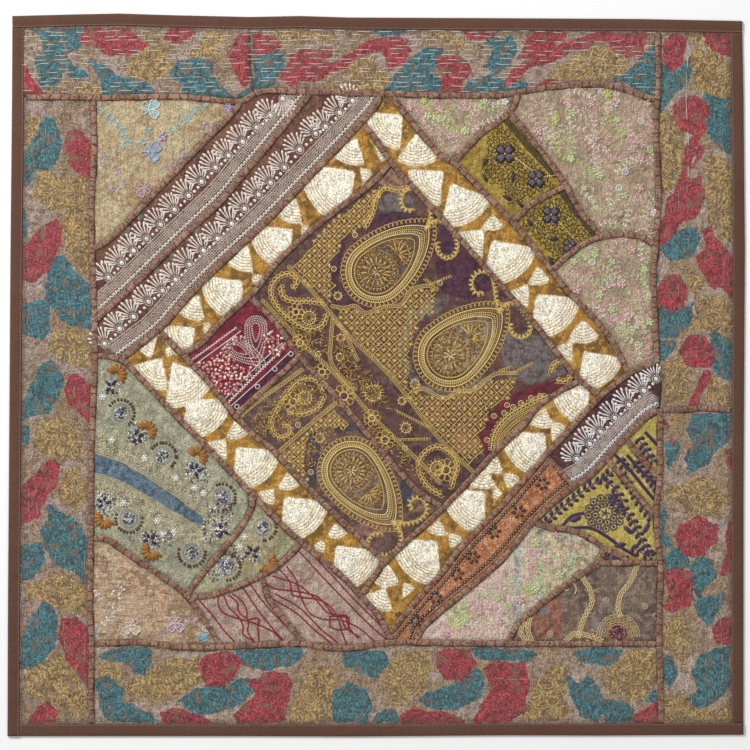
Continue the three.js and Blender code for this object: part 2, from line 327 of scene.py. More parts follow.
def headings(path: np.ndarray) -> np.ndarray:
    """The direction of a path at each of its points, as an angle."""
    slope = np.gradient(path, axis=0)
    return np.arctan2(slope[:, 1], slope[:, 0])


def beside(path: np.ndarray, distance: float) -> np.ndarray:
    """The line that runs beside a path, on its left for a positive distance."""
    turn = headings(path)
    return path + distance * np.column_stack([-np.sin(turn), np.cos(turn)])


def inset(path: np.ndarray, distance: float) -> np.ndarray:
    """A closed clockwise outline moved in by a distance, with mitred corners.

    Args:
        path: the outline, clockwise.
        distance: how far it moves, in metres.

    Returns:
        The new outline's points.
    """
    sides = (path - np.roll(path, 1, axis=0), np.roll(path, -1, axis=0) - path)
    a, b = (np.column_stack([d[:, 1], -d[:, 0]]) / np.linalg.norm(d, axis=1)[:, None] for d in sides)
    mitre = (a + b) / np.linalg.norm(a + b, axis=1)[:, None]
    return path + mitre * (distance / (mitre * a).sum(axis=1))[:, None]


def inside(points: np.ndarray, outline: np.ndarray) -> np.ndarray:
    """Tells which points lie in a closed outline.

    Args:
        points: the places to test.
        outline: the closed outline.

    Returns:
        One truth value for each point.
    """
    x, y = points[:, 0], points[:, 1]
    found = np.zeros(len(points), bool)
    for (x0, y0), (x1, y1) in zip(outline, np.roll(outline, -1, axis=0)):
        if y0 != y1:
            crosses = (y0 > y) != (y1 > y)
            found ^= crosses & (x < (x1 - x0) * (y - y0) / (y1 - y0) + x0)
    return found


def grid_over(low: np.ndarray, high: np.ndarray, step: float) -> np.ndarray:
    """A square grid of points over a box.

    Args:
        low: the box's lower left corner.
        high: its upper right corner.
        step: the distance between two points.

    Returns:
        The points, row by row.
    """
    x, y = (np.arange(low[k], high[k], step) for k in (0, 1))
    return np.stack(np.meshgrid(x, y), axis=-1).reshape(-1, 2)


@dataclass(frozen=True)
class Seam:
    """A seam between patches, and the cord laid along it.

    Args:
        name: the seam.
        cord: the node of its cord, or nothing.
        start: the seam that it starts on, or nothing.
        end: the seam that it ends on, or nothing.
        pixels: the points that it passes through.
    """

    name: str
    cord: str
    start: str
    end: str
    pixels: tuple[tuple[float, float], ...]


# A seam is listed after those that it starts or ends on.
SEAMS = (
    Seam("right_upper", "cord_right_upper", "", "", (
        (657, 5), (657.5, 30), (658.5, 75), (657, 101), (656, 120), (657, 155), (658.5, 190), (656, 243),
        (653.5, 275), (655, 320), (657, 362),
    )),
    Seam("right_lace", "", "", "", (
        (657, 362), (661.5, 378), (662, 395), (660, 409),
    )),
    Seam("right_lower", "cord_right_lower", "", "", (
        (660, 409), (660, 440), (659.5, 478), (656.5, 505), (657, 535), (660, 562), (659, 643),
        (660.5, 680), (661, 750),
    )),
    Seam("right_panel", "cord_right_panel", "right_lower", "", (
        (660, 410), (680, 410), (700, 408), (717, 409), (760, 411),
    )),
    Seam("top", "cord_top", "", "right_upper", (
        (0, 98), (60, 97), (95, 98), (140, 97), (190, 97.5), (225, 101), (240, 101.5), (262, 91.5),
        (300, 92), (384, 94), (440, 95.5), (500, 95), (525, 91), (580, 84.5), (602, 85), (622, 89),
        (657, 101),
    )),
    Seam("top_panel", "", "", "top", (
        (251, 5), (250.5, 60), (254, 94),
    )),
    Seam("left", "cord_left", "top", "", (
        (93, 98), (94.5, 150), (92, 200), (92, 240), (95, 320), (95, 355), (92, 440), (91, 540),
        (90.5, 620), (92, 644), (91, 690), (93, 750),
    )),
    Seam("bottom", "cord_bottom", "left", "right_lower", (
        (92, 644), (145, 642.5), (170, 646), (200, 647.5), (260, 645), (300, 643.5), (322, 647),
        (347, 648), (395, 642), (440, 643), (500, 643.5), (600, 643.5), (659, 643),
    )),
    Seam("lace_first", "cord_lace_first", "top", "left", (
        (242, 101), (230, 116), (205, 141), (155, 193), (130, 219), (110, 239), (93, 249),
    )),
    Seam("lace_second", "cord_lace_second", "top", "left", (
        (312, 92), (296, 112), (262, 153), (243, 175), (225, 197), (180, 240), (130, 289), (95, 322),
    )),
    Seam("outer_lower_left", "cord_outer_lower_left", "left", "bottom", (
        (95, 355), (108, 356.5), (122, 360), (140, 377), (165, 404), (225, 465), (250, 492), (300, 541),
        (340, 574), (362, 597), (380, 618), (393, 643),
    )),
    Seam("outer_upper_left", "cord_outer_upper_left", "top", "outer_lower_left", (
        (381, 94), (377, 104), (361, 123), (300, 187), (260, 228), (220, 265), (190, 295), (160, 329),
        (140, 345), (120, 358),
    )),
    Seam("outer_lower_right", "cord_outer_lower_right", "right_upper", "outer_lower_left", (
        (657, 362), (645, 366), (632, 372), (600, 397), (560, 440), (545, 456), (505, 502), (460, 549),
        (440, 575), (418, 599), (392, 633),
    )),
    Seam("outer_upper_right", "cord_outer_upper_right", "top", "outer_lower_right", (
        (391, 94.5), (400, 107), (420, 132), (440, 155), (455, 164), (500, 209), (520, 230), (545, 262),
        (565, 288), (590, 314), (610, 338), (629, 373),
    )),
    Seam("inner_upper_right", "cord_inner_upper_right", "outer_upper_left", "outer_lower_right", (
        (361, 123), (375, 138), (391, 162), (445, 222), (500, 284), (540, 330), (560, 357), (580, 380),
        (600, 397),
    )),
    Seam("inner_lower_left", "cord_inner_lower_left", "outer_upper_left", "", (
        (160, 331), (190, 362), (205, 378), (235, 415), (252, 433), (275, 452), (300, 479), (350, 529),
        (385, 562),
    )),
    Seam("inner_lower_right", "cord_inner_lower_right", "inner_upper_right", "outer_lower_left", (
        (580, 380), (562, 390), (540, 405), (520, 429), (500, 447), (443, 508), (400, 547), (385, 562),
        (373, 578), (361, 596),
    )),
    Seam("inner_upper_left", "cord_inner_upper_left", "inner_upper_right", "inner_lower_left", (
        (391, 162), (372, 183), (330, 215), (305, 236), (280, 259), (250, 296), (225, 318), (200, 344),
        (183, 356),
    )),
    Seam("centre_long", "cord_centre", "inner_upper_left", "inner_lower_right", (
        (250, 296), (275, 322), (300, 356), (345, 407), (395, 467), (420, 493), (443, 508),
    )),
    Seam("centre_short", "cord_centre", "centre_long", "inner_lower_left", (
        (300, 356), (280, 375), (235, 415),
    )),
    Seam("sage_beige", "cord_sage", "left", "bottom", (
        (91, 537), (108, 540), (130, 555), (170, 582), (187, 595), (200, 614), (222, 646),
    )),
    Seam("sage_split", "cord_sage", "outer_lower_left", "sage_beige", (
        (250, 492), (252, 506), (244, 523), (205, 571), (186, 594),
    )),
    Seam("sage_taupe", "cord_sage", "outer_lower_left", "sage_beige", (
        (301, 542), (288, 557), (270, 571), (245, 583), (215, 594), (189, 598),
    )),
    Seam("taupe_split", "cord_sage", "sage_taupe", "bottom", (
        (262, 575), (270, 600), (285, 620), (305, 644),
    )),
    Seam("pale_mustard", "cord_mustard", "top", "outer_upper_right", (
        (518, 92), (510, 112), (480, 135), (453, 163),
    )),
    Seam("pale_split", "cord_mustard", "outer_upper_right", "right_upper", (
        (551, 270), (580, 246), (601, 237), (638, 236), (656, 245),
    )),
    Seam("mustard_pale", "cord_mustard", "pale_mustard", "pale_split", (
        (510, 112), (542, 152), (566, 185), (577, 206), (601, 237),
    )),
    Seam("mustard_split", "cord_mustard", "mustard_pale", "outer_upper_right", (
        (566, 185), (548, 195), (530, 205), (514, 223),
    )),
    Seam("orange_pale", "cord_orange", "right_lower", "bottom", (
        (660, 410), (648, 416), (618, 446), (588, 478), (573, 487), (538, 517), (500, 561), (480, 579),
        (435, 616), (421, 630), (416, 643),
    )),
    Seam("lace_end", "cord_orange", "outer_lower_right", "orange_pale", (
        (545, 456), (560, 471), (573, 487),
    )),
    Seam("yellow_upper", "cord_orange", "orange_pale", "right_lower", (
        (625, 439), (650, 468), (659.5, 479),
    )),
    Seam("yellow_middle", "cord_orange", "orange_pale", "right_lower", (
        (606, 459), (620, 474), (646, 505), (656.5, 516),
    )),
    Seam("pale_brown", "cord_brown", "", "bottom", (
        (603, 548), (600, 562), (580, 575), (535, 609), (518, 624), (508, 643),
    )),
    Seam("yellow_pale_upper", "cord_brown", "orange_pale", "pale_brown", (
        (533, 523), (545, 527), (565, 529), (585, 535), (603, 548),
    )),
    Seam("brown_top", "cord_brown", "pale_brown", "right_lower", (
        (600, 562), (630, 563), (660, 562),
    )),
    Seam("yellow_pale_lower", "cord_brown", "pale_brown", "brown_top", (
        (603, 548), (615, 553), (629, 563),
    )),
)
EDGE_UPPER = (
    (12.4, 16), (70, 14.5), (120, 13.5), (165, 15), (250, 17), (300, 16), (350, 17.5), (500, 18.2),
    (640, 19), (742, 21),
)
EDGE_RIGHT = ((742, 21), (743.5, 100), (744.8, 250), (744, 400), (743.5, 500), (743.4, 734.8))
EDGE_LOWER = ((743.4, 734.8), (600, 735.5), (500, 735.3), (350, 736.5), (250, 736), (7.5, 736))
EDGE_LEFT = ((7.5, 736), (8, 600), (9.5, 400), (10.5, 250), (12, 100), (12.4, 16))
OUTLINE = place(EDGE_UPPER + EDGE_RIGHT[1:] + EDGE_LOWER[1:] + EDGE_LEFT[1:-1])


def seam_lines() -> dict[str, np.ndarray]:
    """Works out every seam's line, from the seam that it starts on to the one that it ends on.

    Returns:
        Each seam's smooth line, by the seam's name.
    """
    lines: dict[str, np.ndarray] = {}
    for seam in SEAMS:
        points = place(seam.pixels)
        for index, other in ((0, seam.start), (-1, seam.end)):
            if other:
                line = lines[other]
                points[index] = line[np.linalg.norm(line - points[index], axis=1).argmin()]
        lines[seam.name] = smooth(points)
    return lines


LINES = seam_lines()
EDGE_LINE = resample(np.vstack([OUTLINE, OUTLINE[:1]]), 0.002)


@dataclass
class Crease:
    """A fold or pucker that shows as a soft trough.

    Args:
        pixels: the points that it passes through.
        depth: how far it sinks, in metres; a ridge is negative.
        width: half of its width, in metres.
        dark: how much painted shade lies in it.
    """

    pixels: tuple[tuple[float, float], ...]
    depth: float = 0.0008
    width: float = 0.0035
    dark: float = 0.0


CREASES = (
    Crease(((551, 178), (575, 180), (600, 181), (628, 176), (645, 168)), 0.0012, 0.003, 0.7),
    Crease(((560, 203), (590, 207), (622, 210), (657, 204)), 0.0009, 0.003, 0.6),
    Crease(((608, 342), (628, 352), (655, 341)), 0.0009, 0.003, 0.6),
    Crease(((106, 200), (125, 203), (152, 200)), 0.0007, 0.003, 0.5),
    Crease(((662, 207), (680, 205), (702, 207)), 0.0010, 0.003, 0.9),
    Crease(((656, 336), (690, 332), (733, 336)), 0.0010, 0.003, 0.8),
    Crease(((664, 484), (690, 478), (715, 486), (731, 482)), 0.0009, 0.003, 0.7),
    Crease(((24, 332), (50, 326), (70, 330), (92, 334)), 0.0008, 0.003, 0.6),
    Crease(((36, 378), (60, 368), (88, 366)), 0.0009, 0.003, 0.7),
    Crease(((24, 536), (38, 540), (60, 532)), 0.0006, 0.003, 0.5),
    Crease(((410, 78), (450, 76), (500, 78)), 0.0005, 0.003, 0.5),
    Crease(((636, 660), (650, 654), (658, 656)), 0.0008, 0.003, 0.7),
    Crease(((634, 692), (646, 696), (657, 690)), 0.0008, 0.003, 0.7),
    Crease(((130, 592), (160, 594), (186, 598)), 0.0006, 0.003, 0.5),
    Crease(((530, 226), (545, 232), (560, 228)), 0.0005, 0.003, 0.3),
    Crease(((505, 332), (530, 334), (550, 336)), 0.0006, 0.003, 0.7),
    Crease(((560, 600), (600, 594), (655, 600)), 0.0006, 0.003, 0.4),
    Crease(((555, 96), (600, 112), (650, 120)), 0.0005, 0.006),
    Crease(((590, 300), (615, 285), (650, 290)), 0.0006, 0.006),
    Crease(((24, 178), (55, 182), (90, 176)), 0.0006, 0.006),
    Crease(((25, 560), (60, 566), (90, 558)), 0.0007, 0.006),
    Crease(((664, 640), (700, 634), (730, 641)), 0.0007, 0.006),
    Crease(((300, 650), (303, 690), (298, 720)), 0.0006, 0.006),
    Crease(((560, 650), (557, 680), (562, 718)), 0.0006, 0.006),
    Crease(((430, 140), (450, 150), (462, 140)), 0.0006, 0.005),
    Crease(((440, 600), (470, 612), (500, 610)), 0.0005, 0.004, 0.25),
)


class Relief:
    """The height of the cloth's upper face, on a grid over the whole cloth."""

    STEP = 0.0025
    MARGIN = 0.01

    def __init__(self) -> None:
        """Works out the height from the seams, the creases and the quilting's unevenness."""
        self.low = OUTLINE.min(axis=0) - self.MARGIN
        self.count = np.ceil((OUTLINE.max(axis=0) + self.MARGIN - self.low) / self.STEP).astype(int) + 1
        x, y = (self.low[k] + self.STEP * np.arange(self.count[k]) for k in (0, 1))
        grid = np.stack(np.meshgrid(x, y), axis=-1).reshape(-1, 2)
        sewn = [*LINES.values(), resample(inset(OUTLINE, BINDING_WIDTH), 0.003)]
        self.seam = self.distances(grid, np.vstack(sewn))
        self.seam[self.distances(grid, EDGE_LINE) < BINDING_WIDTH] = 0
        rise = 1 - np.exp(-np.maximum(self.seam - 0.003, 0) / 0.008)
        height = SHEET + PUFF * rise * (1 + 0.32 * self.waves(grid))
        # fold is the distance to the nearest darker crease, less for a darker one; the finishes paint shade
        # there.
        self.fold = np.full(len(grid), 0.05)
        for crease in CREASES:
            away = self.distances(grid, smooth(place(crease.pixels)))
            height -= crease.depth * rise * np.exp(-((away / crease.width) ** 2))
            if crease.dark:
                self.fold = np.minimum(self.fold, away + 0.0012 * (1 - crease.dark))
        self.height = np.maximum(height, SHEET)

    @staticmethod
    def distances(points: np.ndarray, line: np.ndarray) -> np.ndarray:
        """The distance from each point to the nearest point of a line.

        Args:
            points: the places to measure from.
            line: the line's points, close together.

        Returns:
            One distance for each point.
        """
        tree = KDTree(len(line))
        for index, (x, y) in enumerate(line):
            tree.insert((x, y, 0), index)
        tree.balance()
        return np.array([tree.find((x, y, 0))[2] for x, y in points])

    @staticmethod
    def waves(points: np.ndarray) -> np.ndarray:
        """An even mixture of long and short waves, about -1 to 1.

        Args:
            points: places in metres.

        Returns:
            One value for each point.
        """
        draw = np.random.default_rng(11)
        total = np.zeros(len(points))
        for length, share in ((0.16, 0.9), (0.09, 0.7), (0.055, 0.6), (0.034, 0.5), (0.02, 0.35)):
            for _ in range(3):
                turn, phase = draw.uniform(0, math.tau, 2)
                along = points @ (math.cos(turn), math.sin(turn))
                total += share / 1.6 * np.sin(math.tau * along / length + phase)
        return total

    def read(self, field_values: np.ndarray, points: np.ndarray) -> np.ndarray:
        """Reads a grid's values between its points.

        Args:
            field_values: one value for each point of the grid.
            points: places in metres.

        Returns:
            One value for each place.
        """
        at = (np.asarray(points)[:, :2] - self.low) / self.STEP
        at = np.clip(at, 0, self.count - 1.001)
        i, j = at.astype(int).T
        u, v = (at - np.floor(at)).T
        rows = field_values.reshape(self.count[1], self.count[0])
        low = rows[j, i] * (1 - u) + rows[j, i + 1] * u
        high = rows[j + 1, i] * (1 - u) + rows[j + 1, i + 1] * u
        return low * (1 - v) + high * v

    def top(self, points: np.ndarray) -> np.ndarray:
        """The height of the cloth's upper face at places on it."""
        return self.read(self.height, points)


RELIEF = Relief()


# Meshes


def mesh_object(name: str, vertices: Iterable, faces: Iterable, finish: bpy.types.Material | None = None,
                edges: Iterable = ()) -> bpy.types.Object:
    """Makes an object at the origin from a mesh's vertices and faces.

    Args:
        name: the object's name.
        vertices: the places of its vertices.
        faces: the vertices of each face.
        finish: its material.
        edges: the two vertices of each edge that has no face.

    Returns:
        The object.
    """
    mesh = bpy.data.meshes.new(name)
    mesh.from_pydata([tuple(map(float, v)) for v in vertices], list(edges),
                     [list(map(int, f)) for f in faces])
    mesh.update()
    if finish:
        mesh.materials.append(finish)
    made = bpy.data.objects.new(name, mesh)
    bpy.context.scene.collection.objects.link(made)
    return made


def put(mesh: bpy.types.Mesh, name: str, values: np.ndarray) -> None:
    """Writes a point attribute: a number, a vector or a colour for each vertex.

    Args:
        mesh: the mesh.
        name: the attribute's name.
        values: one row for each vertex.
    """
    kind = {1: "FLOAT", 3: "FLOAT_VECTOR", 4: "FLOAT_COLOR"}[1 if values.ndim == 1 else values.shape[1]]
    attribute = mesh.attributes.new(name, kind, "POINT")
    key = {"FLOAT": "value", "FLOAT_VECTOR": "vector", "FLOAT_COLOR": "color"}[kind]
    attribute.data.foreach_set(key, np.ascontiguousarray(values, np.float32).ravel())


def smooth_shade(made: bpy.types.Object) -> None:
    """Shades an object's faces smooth."""
    made.data.shade_smooth()


def grown(made: bpy.types.Object, tree: bpy.types.NodeTree,
          values: dict[str, object]) -> bpy.types.Object:
    """Runs a Geometry Nodes tree on an object and keeps the result as its mesh.

    Args:
        made: the object that holds the points or lines.
        tree: the tree.
        values: the tree's inputs by name.

    Returns:
        The same object with its new mesh and no modifier.
    """
    modifier = made.modifiers.new("grow", "NODES")
    modifier.node_group = tree
    for item in tree.interface.items_tree:
        if item.item_type == "SOCKET" and item.in_out == "INPUT" and item.name in values:
            modifier[item.identifier] = values[item.name]
    graph = bpy.context.evaluated_depsgraph_get()
    mesh = bpy.data.meshes.new_from_object(made.evaluated_get(graph), depsgraph=graph)
    made.modifiers.remove(modifier)
    made.data = mesh
    return made


def tell(made: bpy.types.Object, slot: str, replaces: Sequence[str] = ()) -> bpy.types.Object:
    """Puts a finished piece on the cloth's one body and reports it.

    Args:
        made: the piece.
        slot: not used.
        replaces: the solids that it stands for.

    Returns:
        The same piece.
    """
    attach(made, "root")
    if replaces:
        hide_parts(*replaces)
    triangles = sum(len(p.vertices) - 2 for p in made.data.polygons)
    LOG.info("%s: %d triangles", made.name, triangles)
    return made


def section_outline(node: bpy.types.Object) -> np.ndarray:
    """The outline of a node's solid where a level plane cuts it.

    Args:
        node: the node, whose own mesh isn't changed.

    Returns:
        The points of the longest loop, clockwise from its lower left one.
    """
    work = bmesh.new()
    work.from_mesh(node.data)
    bmesh.ops.remove_doubles(work, verts=work.verts, dist=1e-6)
    everything = work.verts[:] + work.edges[:] + work.faces[:]
    cut = bmesh.ops.bisect_plane(
        work, geom=everything, dist=1e-7, plane_co=(0, 0, CUT_HEIGHT), plane_no=(0, 0, 1)
    )["geom_cut"]
    edges = {e for e in cut if isinstance(e, bmesh.types.BMEdge)}
    loops = []
    while edges:
        edge = edges.pop()
        loop = [edge.verts[0], edge.verts[1]]
        while True:
            following = [e for e in loop[-1].link_edges if e in edges]
            if not following:
                break
            edges.discard(following[0])
            loop.append(following[0].other_vert(loop[-1]))
        loops.append([tuple(v.co.xy) for v in loop[:-1]])
    work.free()
    best = np.array(max(loops, key=len))
    before, after = best - np.roll(best, 1, axis=0), np.roll(best, -1, axis=0) - best
    bend = np.abs(before[:, 0] * after[:, 1] - before[:, 1] * after[:, 0])
    corners = best[bend > 1e-9]
    x, y = corners.T
    if x @ np.roll(y, -1) > y @ np.roll(x, -1):
        corners = corners[::-1]
    return np.roll(corners, -int(np.argmin(corners.sum(axis=1))), axis=0)


def cut_size(outline: np.ndarray) -> tuple[float, float]:
    """The width and length of the smallest rectangle round an outline.

    Args:
        outline: the outline in metres.

    Returns:
        The shorter and the longer side.
    """
    turn = box_fit_2d([tuple(p) for p in outline])
    c, s = math.cos(turn), math.sin(turn)
    size = np.ptp(outline @ np.array([[c, s], [-s, c]]), axis=0)
    return float(size.min()), float(size.max())


def sheet_mesh(name: str, outline: np.ndarray, step: float) -> bpy.types.Object:
    """A closed thin sheet with the cloth's relief on top.

    Args:
        name: the object's name.
        outline: the sheet's closed outline.
        step: the distance between its points.

    Returns:
        The sheet, with its distances from the nearest seam and from the nearest darker crease as attributes,
        which its finish uses for painted shade, and for dirt by the seams.
    """
    ring = resample(np.vstack([outline, outline[:1]]), step)[:-1]
    low, high = ring.min(axis=0), ring.max(axis=0)
    x, y = (np.arange(low[k] + step / 2, high[k], step * (1, 0.87)[k]) for k in (0, 1))
    grid = np.stack(np.meshgrid(x, y), axis=-1)
    grid[1::2, :, 0] += step / 2
    grid = grid.reshape(-1, 2)
    grid = grid[inside(grid, ring)]
    grid = grid[Relief.distances(grid, resample(ring, step / 2)) > step * 0.55] if len(grid) else grid
    points = np.vstack([ring, grid])
    result = delaunay_2d_cdt([Vector(p) for p in points], [], [list(range(len(ring)))], 1, 1e-7)
    flat, faces = np.array([tuple(v) for v in result[0]]), [list(f) for f in result[2]]
    count = len(flat)
    sums = {(f[i], f[(i + 1) % 3]) for f in faces for i in range(3)}
    rim = [(a, b) for a, b in sums if (b, a) not in sums]
    covered = Relief.distances(flat, EDGE_LINE) < BINDING_WIDTH + GAP
    top = np.column_stack([flat, RELIEF.top(flat)])
    bottom = np.column_stack([flat, np.where(covered, BINDING_CLOTH + GAP, 0.0001)])
    under = [[v + count for v in f[::-1]] for f in faces]
    walls = [[a, a + count, b + count, b] for a, b in rim]
    made = mesh_object(name, np.vstack([top, bottom]), faces + under + walls)
    put(made.data, "seam", np.tile(RELIEF.read(RELIEF.seam, flat), 2))
    put(made.data, "fold", np.tile(RELIEF.read(RELIEF.fold, flat), 2))
    smooth_shade(made)
    return made


# Geometry Nodes


# A stitch's or bead's mesh has few sides, so it is a little wider than the round that it stands for.
GRAIN_RADIUS = 0.56


class Form(Enum):
    """What is set on each point."""

    STITCH = "stitches"
    BEAD = "beads"
    SEQUIN = "sequins"


def new_tree(name: str, sockets: dict[str, tuple[str, object]]) -> tuple[Net, dict[str, Wire]]:
    """Starts a Geometry Nodes tree.

    Args:
        name: the tree's name.
        sockets: for each input's name, its kind and its first value.

    Returns:
        The net and the wire of each input.
    """
    tree = bpy.data.node_groups.new(name, "GeometryNodeTree")
    tree.interface.new_socket("Geometry", in_out="OUTPUT", socket_type="NodeSocketGeometry")
    tree.interface.new_socket("Geometry", in_out="INPUT", socket_type="NodeSocketGeometry")
    for socket, (kind, value) in sockets.items():
        made = tree.interface.new_socket(socket, in_out="INPUT", socket_type=f"NodeSocket{kind}")
        if value is not None:
            made.default_value = value
    net = Net(tree)
    entry = tree.nodes.new("NodeGroupInput")
    return net, {s.name: Wire(net, s) for s in entry.outputs if s.name}


def end_tree(net: Net, geometry: Wire, finish: Wire) -> bpy.types.NodeTree:
    """Realizes the instances, shades them smooth, gives them their material and ends the tree.

    Args:
        net: the tree.
        geometry: what it has made.
        finish: the material.

    Returns:
        The finished tree.
    """
    real = net.add("GeometryNodeRealizeInstances", None, {"Geometry": geometry})
    shaded = net.add("GeometryNodeSetShadeSmooth", None, {"Geometry": real})
    dressed = net.add("GeometryNodeSetMaterial", None, {"Geometry": shaded, "Material": finish})
    leave = net.tree.nodes.new("NodeGroupOutput")
    net.tree.links.new(dressed.socket, leave.inputs[0])
    return net.tree


def named_value(net: Net, name: str, kind: str) -> Wire:
    """Reads a point attribute in a Geometry Nodes tree."""
    return net.add("GeometryNodeInputNamedAttribute", {"data_type": kind}, {"Name": name})


def grain_mesh(net: Net, form: Form, segments: Wire, rings: Wire) -> Wire:
    """The small shape of a unit's size that is set on each point.

    Args:
        net: the tree.
        form: which shape.
        segments: its sides.
        rings: its rings, from top to bottom.

    Returns:
        The shape.
    """
    if form is Form.SEQUIN:
        cup = net.add("GeometryNodeMeshCone", None, {
            "Vertices": 10, "Radius Top": 0.3, "Radius Bottom": 0.5, "Depth": 0.5,
        })
        bead = net.add("GeometryNodeMeshIcoSphere", None, {"Radius": 0.17, "Subdivisions": 2})
        on_top = net.add("GeometryNodeTransform", None, {
            "Geometry": bead, "Translation": (0, 0, 0.5), "Scale": (1, 1, 2),
        })
        joined = net.add("GeometryNodeJoinGeometry", None, {"Geometry": cup})
        net.tree.links.new(on_top.socket, joined.socket.node.inputs[0])
        return joined
    sizes = {"Segments": segments, "Rings": rings, "Radius": GRAIN_RADIUS}
    return net.add("GeometryNodeMeshUVSphere", None, sizes)


def point_tree(form: Form) -> bpy.types.NodeTree:
    """A tree that sets a small shape on each point, by the point's own size and turn.

    Args:
        form: which shape.

    Returns:
        The tree.
    """
    net, given = new_tree(f"set_{form.value}", {
        "Segments": ("Int", 6), "Rings": ("Int", 3), "Finish": ("Material", None),
    })
    points = net.add("GeometryNodeMeshToPoints", None, {"Mesh": given["Geometry"]})
    turn = net.add("ShaderNodeCombineXYZ", None, {"Z": named_value(net, "turn", "FLOAT")})
    instances = net.add("GeometryNodeInstanceOnPoints", None, {
        "Points": points,
        "Instance": grain_mesh(net, form, given["Segments"], given["Rings"]),
        "Rotation": net.add("FunctionNodeEulerToRotation", None, {"Euler": turn}),
        "Scale": named_value(net, "size", "FLOAT_VECTOR"),
    })
    return end_tree(net, instances, given["Finish"])


def row_tree() -> bpy.types.NodeTree:
    """A tree that sews stitches along lines, one for each pitch, a little unevenly.

    Returns:
        The tree.
    """
    net, given = new_tree("sew_row", {
        "Pitch": ("Float", 0.01), "Length": ("Float", 0.006), "Width": ("Float", 0.001),
        "Turn": ("Float", 0.0), "Uneven": ("Float", 0.2), "Seed": ("Int", 3),
        "Finish": ("Material", None),
    })
    line = net.add("GeometryNodeMeshToCurve", None, {"Mesh": given["Geometry"]})
    evenly = net.add("GeometryNodeResampleCurve", {"mode": "LENGTH"}, {
        "Curve": line, "Length": given["Pitch"],
    })
    along = net.add("FunctionNodeAlignRotationToVector", {"axis": "X"}, {
        "Vector": net.add("GeometryNodeInputTangent"),
    })
    jitter = net.add("FunctionNodeRandomValue", None, {
        "Min": given["Uneven"] * -1.0, "Max": given["Uneven"], "Seed": given["Seed"],
    }, "Value")
    turned = net.add("FunctionNodeRotateRotation", {"rotation_space": "LOCAL"}, {
        "Rotation": along,
        "Rotate By": net.add("FunctionNodeEulerToRotation", None, {
            "Euler": net.add("ShaderNodeCombineXYZ", None, {"Z": given["Turn"] + jitter * 0.6}),
        }),
    })
    size = net.add("ShaderNodeCombineXYZ", None, {
        "X": given["Length"] * (jitter + 1.0), "Y": given["Width"], "Z": given["Width"],
    })
    instances = net.add("GeometryNodeInstanceOnPoints", None, {
        "Points": evenly,
        "Instance": net.add("GeometryNodeMeshUVSphere", None, {
            "Segments": 6, "Rings": 3, "Radius": GRAIN_RADIUS,
        }),
        "Rotation": turned,
        "Scale": size,
    })
    return end_tree(net, instances, given["Finish"])


def roll_tree() -> bpy.types.NodeTree:
    """A tree that runs a round thread or a lumpy padded roll along lines.

    Returns:
        The tree.
    """
    net, given = new_tree("lay_roll", {
        "Sides": ("Int", 5), "Flatness": ("Float", 0.8), "Lumps": ("Float", 0.0),
        "Lump Cells": ("Float", 70.0), "Finish": ("Material", None),
    })
    line = net.add("GeometryNodeMeshToCurve", None, {"Mesh": given["Geometry"]})
    level = net.add("GeometryNodeSetCurveNormal", {"mode": "Z_UP"}, {"Curve": line})
    ring = net.add("GeometryNodeCurvePrimitiveCircle", None, {
        "Resolution": given["Sides"], "Radius": 0.5,
    })
    flatter = net.add("ShaderNodeCombineXYZ", None, {"X": 1.0, "Y": given["Flatness"], "Z": 1.0})
    section = net.add("GeometryNodeTransform", None, {"Geometry": ring, "Scale": flatter})
    tube = net.add("GeometryNodeCurveToMesh", None, {
        "Curve": level, "Profile Curve": section, "Fill Caps": True,
        "Scale": named_value(net, "width", "FLOAT"),
    })
    at = net.add("GeometryNodeInputPosition")
    noise = net.add("ShaderNodeTexNoise", None, {
        "Vector": at, "Scale": given["Lump Cells"], "Detail": 2.0,
    }, "Color")
    middle = net.add("ShaderNodeVectorMath", {"operation": "SUBTRACT"}, {0: noise, 1: (0.5, 0.5, 0.5)})
    shift = net.add("ShaderNodeVectorMath", {"operation": "SCALE"}, {0: middle, "Scale": given["Lumps"]})
    lumpy = net.add("GeometryNodeSetPosition", None, {"Geometry": tube, "Offset": shift})
    return end_tree(net, lumpy, given["Finish"])


# Finishes


@dataclass(frozen=True)
class ThreadFinish:
    """The finish of threads, beads and sequins, which carry their own colour.

    Args:
        name: the finish.
        roughness: its roughness.
        metallic: how metallic it is.
        uneven: how much its colour varies along the cloth.
        ribs: how deep its twist or weave shows.
        coat: the strength of its clear coat.
    """

    name: str
    roughness: float
    metallic: float = 0.0
    uneven: float = 0.35
    ribs: float = 0.25
    coat: float = 0.0

    def material(self) -> bpy.types.Material:
        """Makes the material, which reads the colour attribute named tint.

        Returns:
            The material.
        """

        def build(net: Net, at: Wire, feed: Callable) -> None:
            """Varies the thread's own colour and raises its twist.

            Args:
                net: the material's nodes.
                at: the Object coordinates.
                feed: links a wire to a socket.
            """
            tint = net.attribute("tint", "Color")
            dark = net.mix(self.uneven, tint, (0.12, 0.09, 0.07, 1), "MULTIPLY")
            feed("Base Color", net.mix(net.noise(at, 420, 2), dark, tint))
            twist = net.noise(at, 1500, 1)
            bump = {"Strength": self.ribs, "Distance": 0.0004, "Height": twist}
            feed("Normal", net.add("ShaderNodeBump", None, bump))

        return material(
            self.name, build, Roughness=self.roughness, Metallic=self.metallic, Coat_Weight=self.coat
        )


THREAD = ThreadFinish("stitch_thread", 0.62)
BEAD = ThreadFinish("bead", 0.25, 0.0, 0.15, 0.0, 0.5)
SEQUIN = ThreadFinish("sequin", 0.22, 0.35, 0.1, 0.0, 0.6)


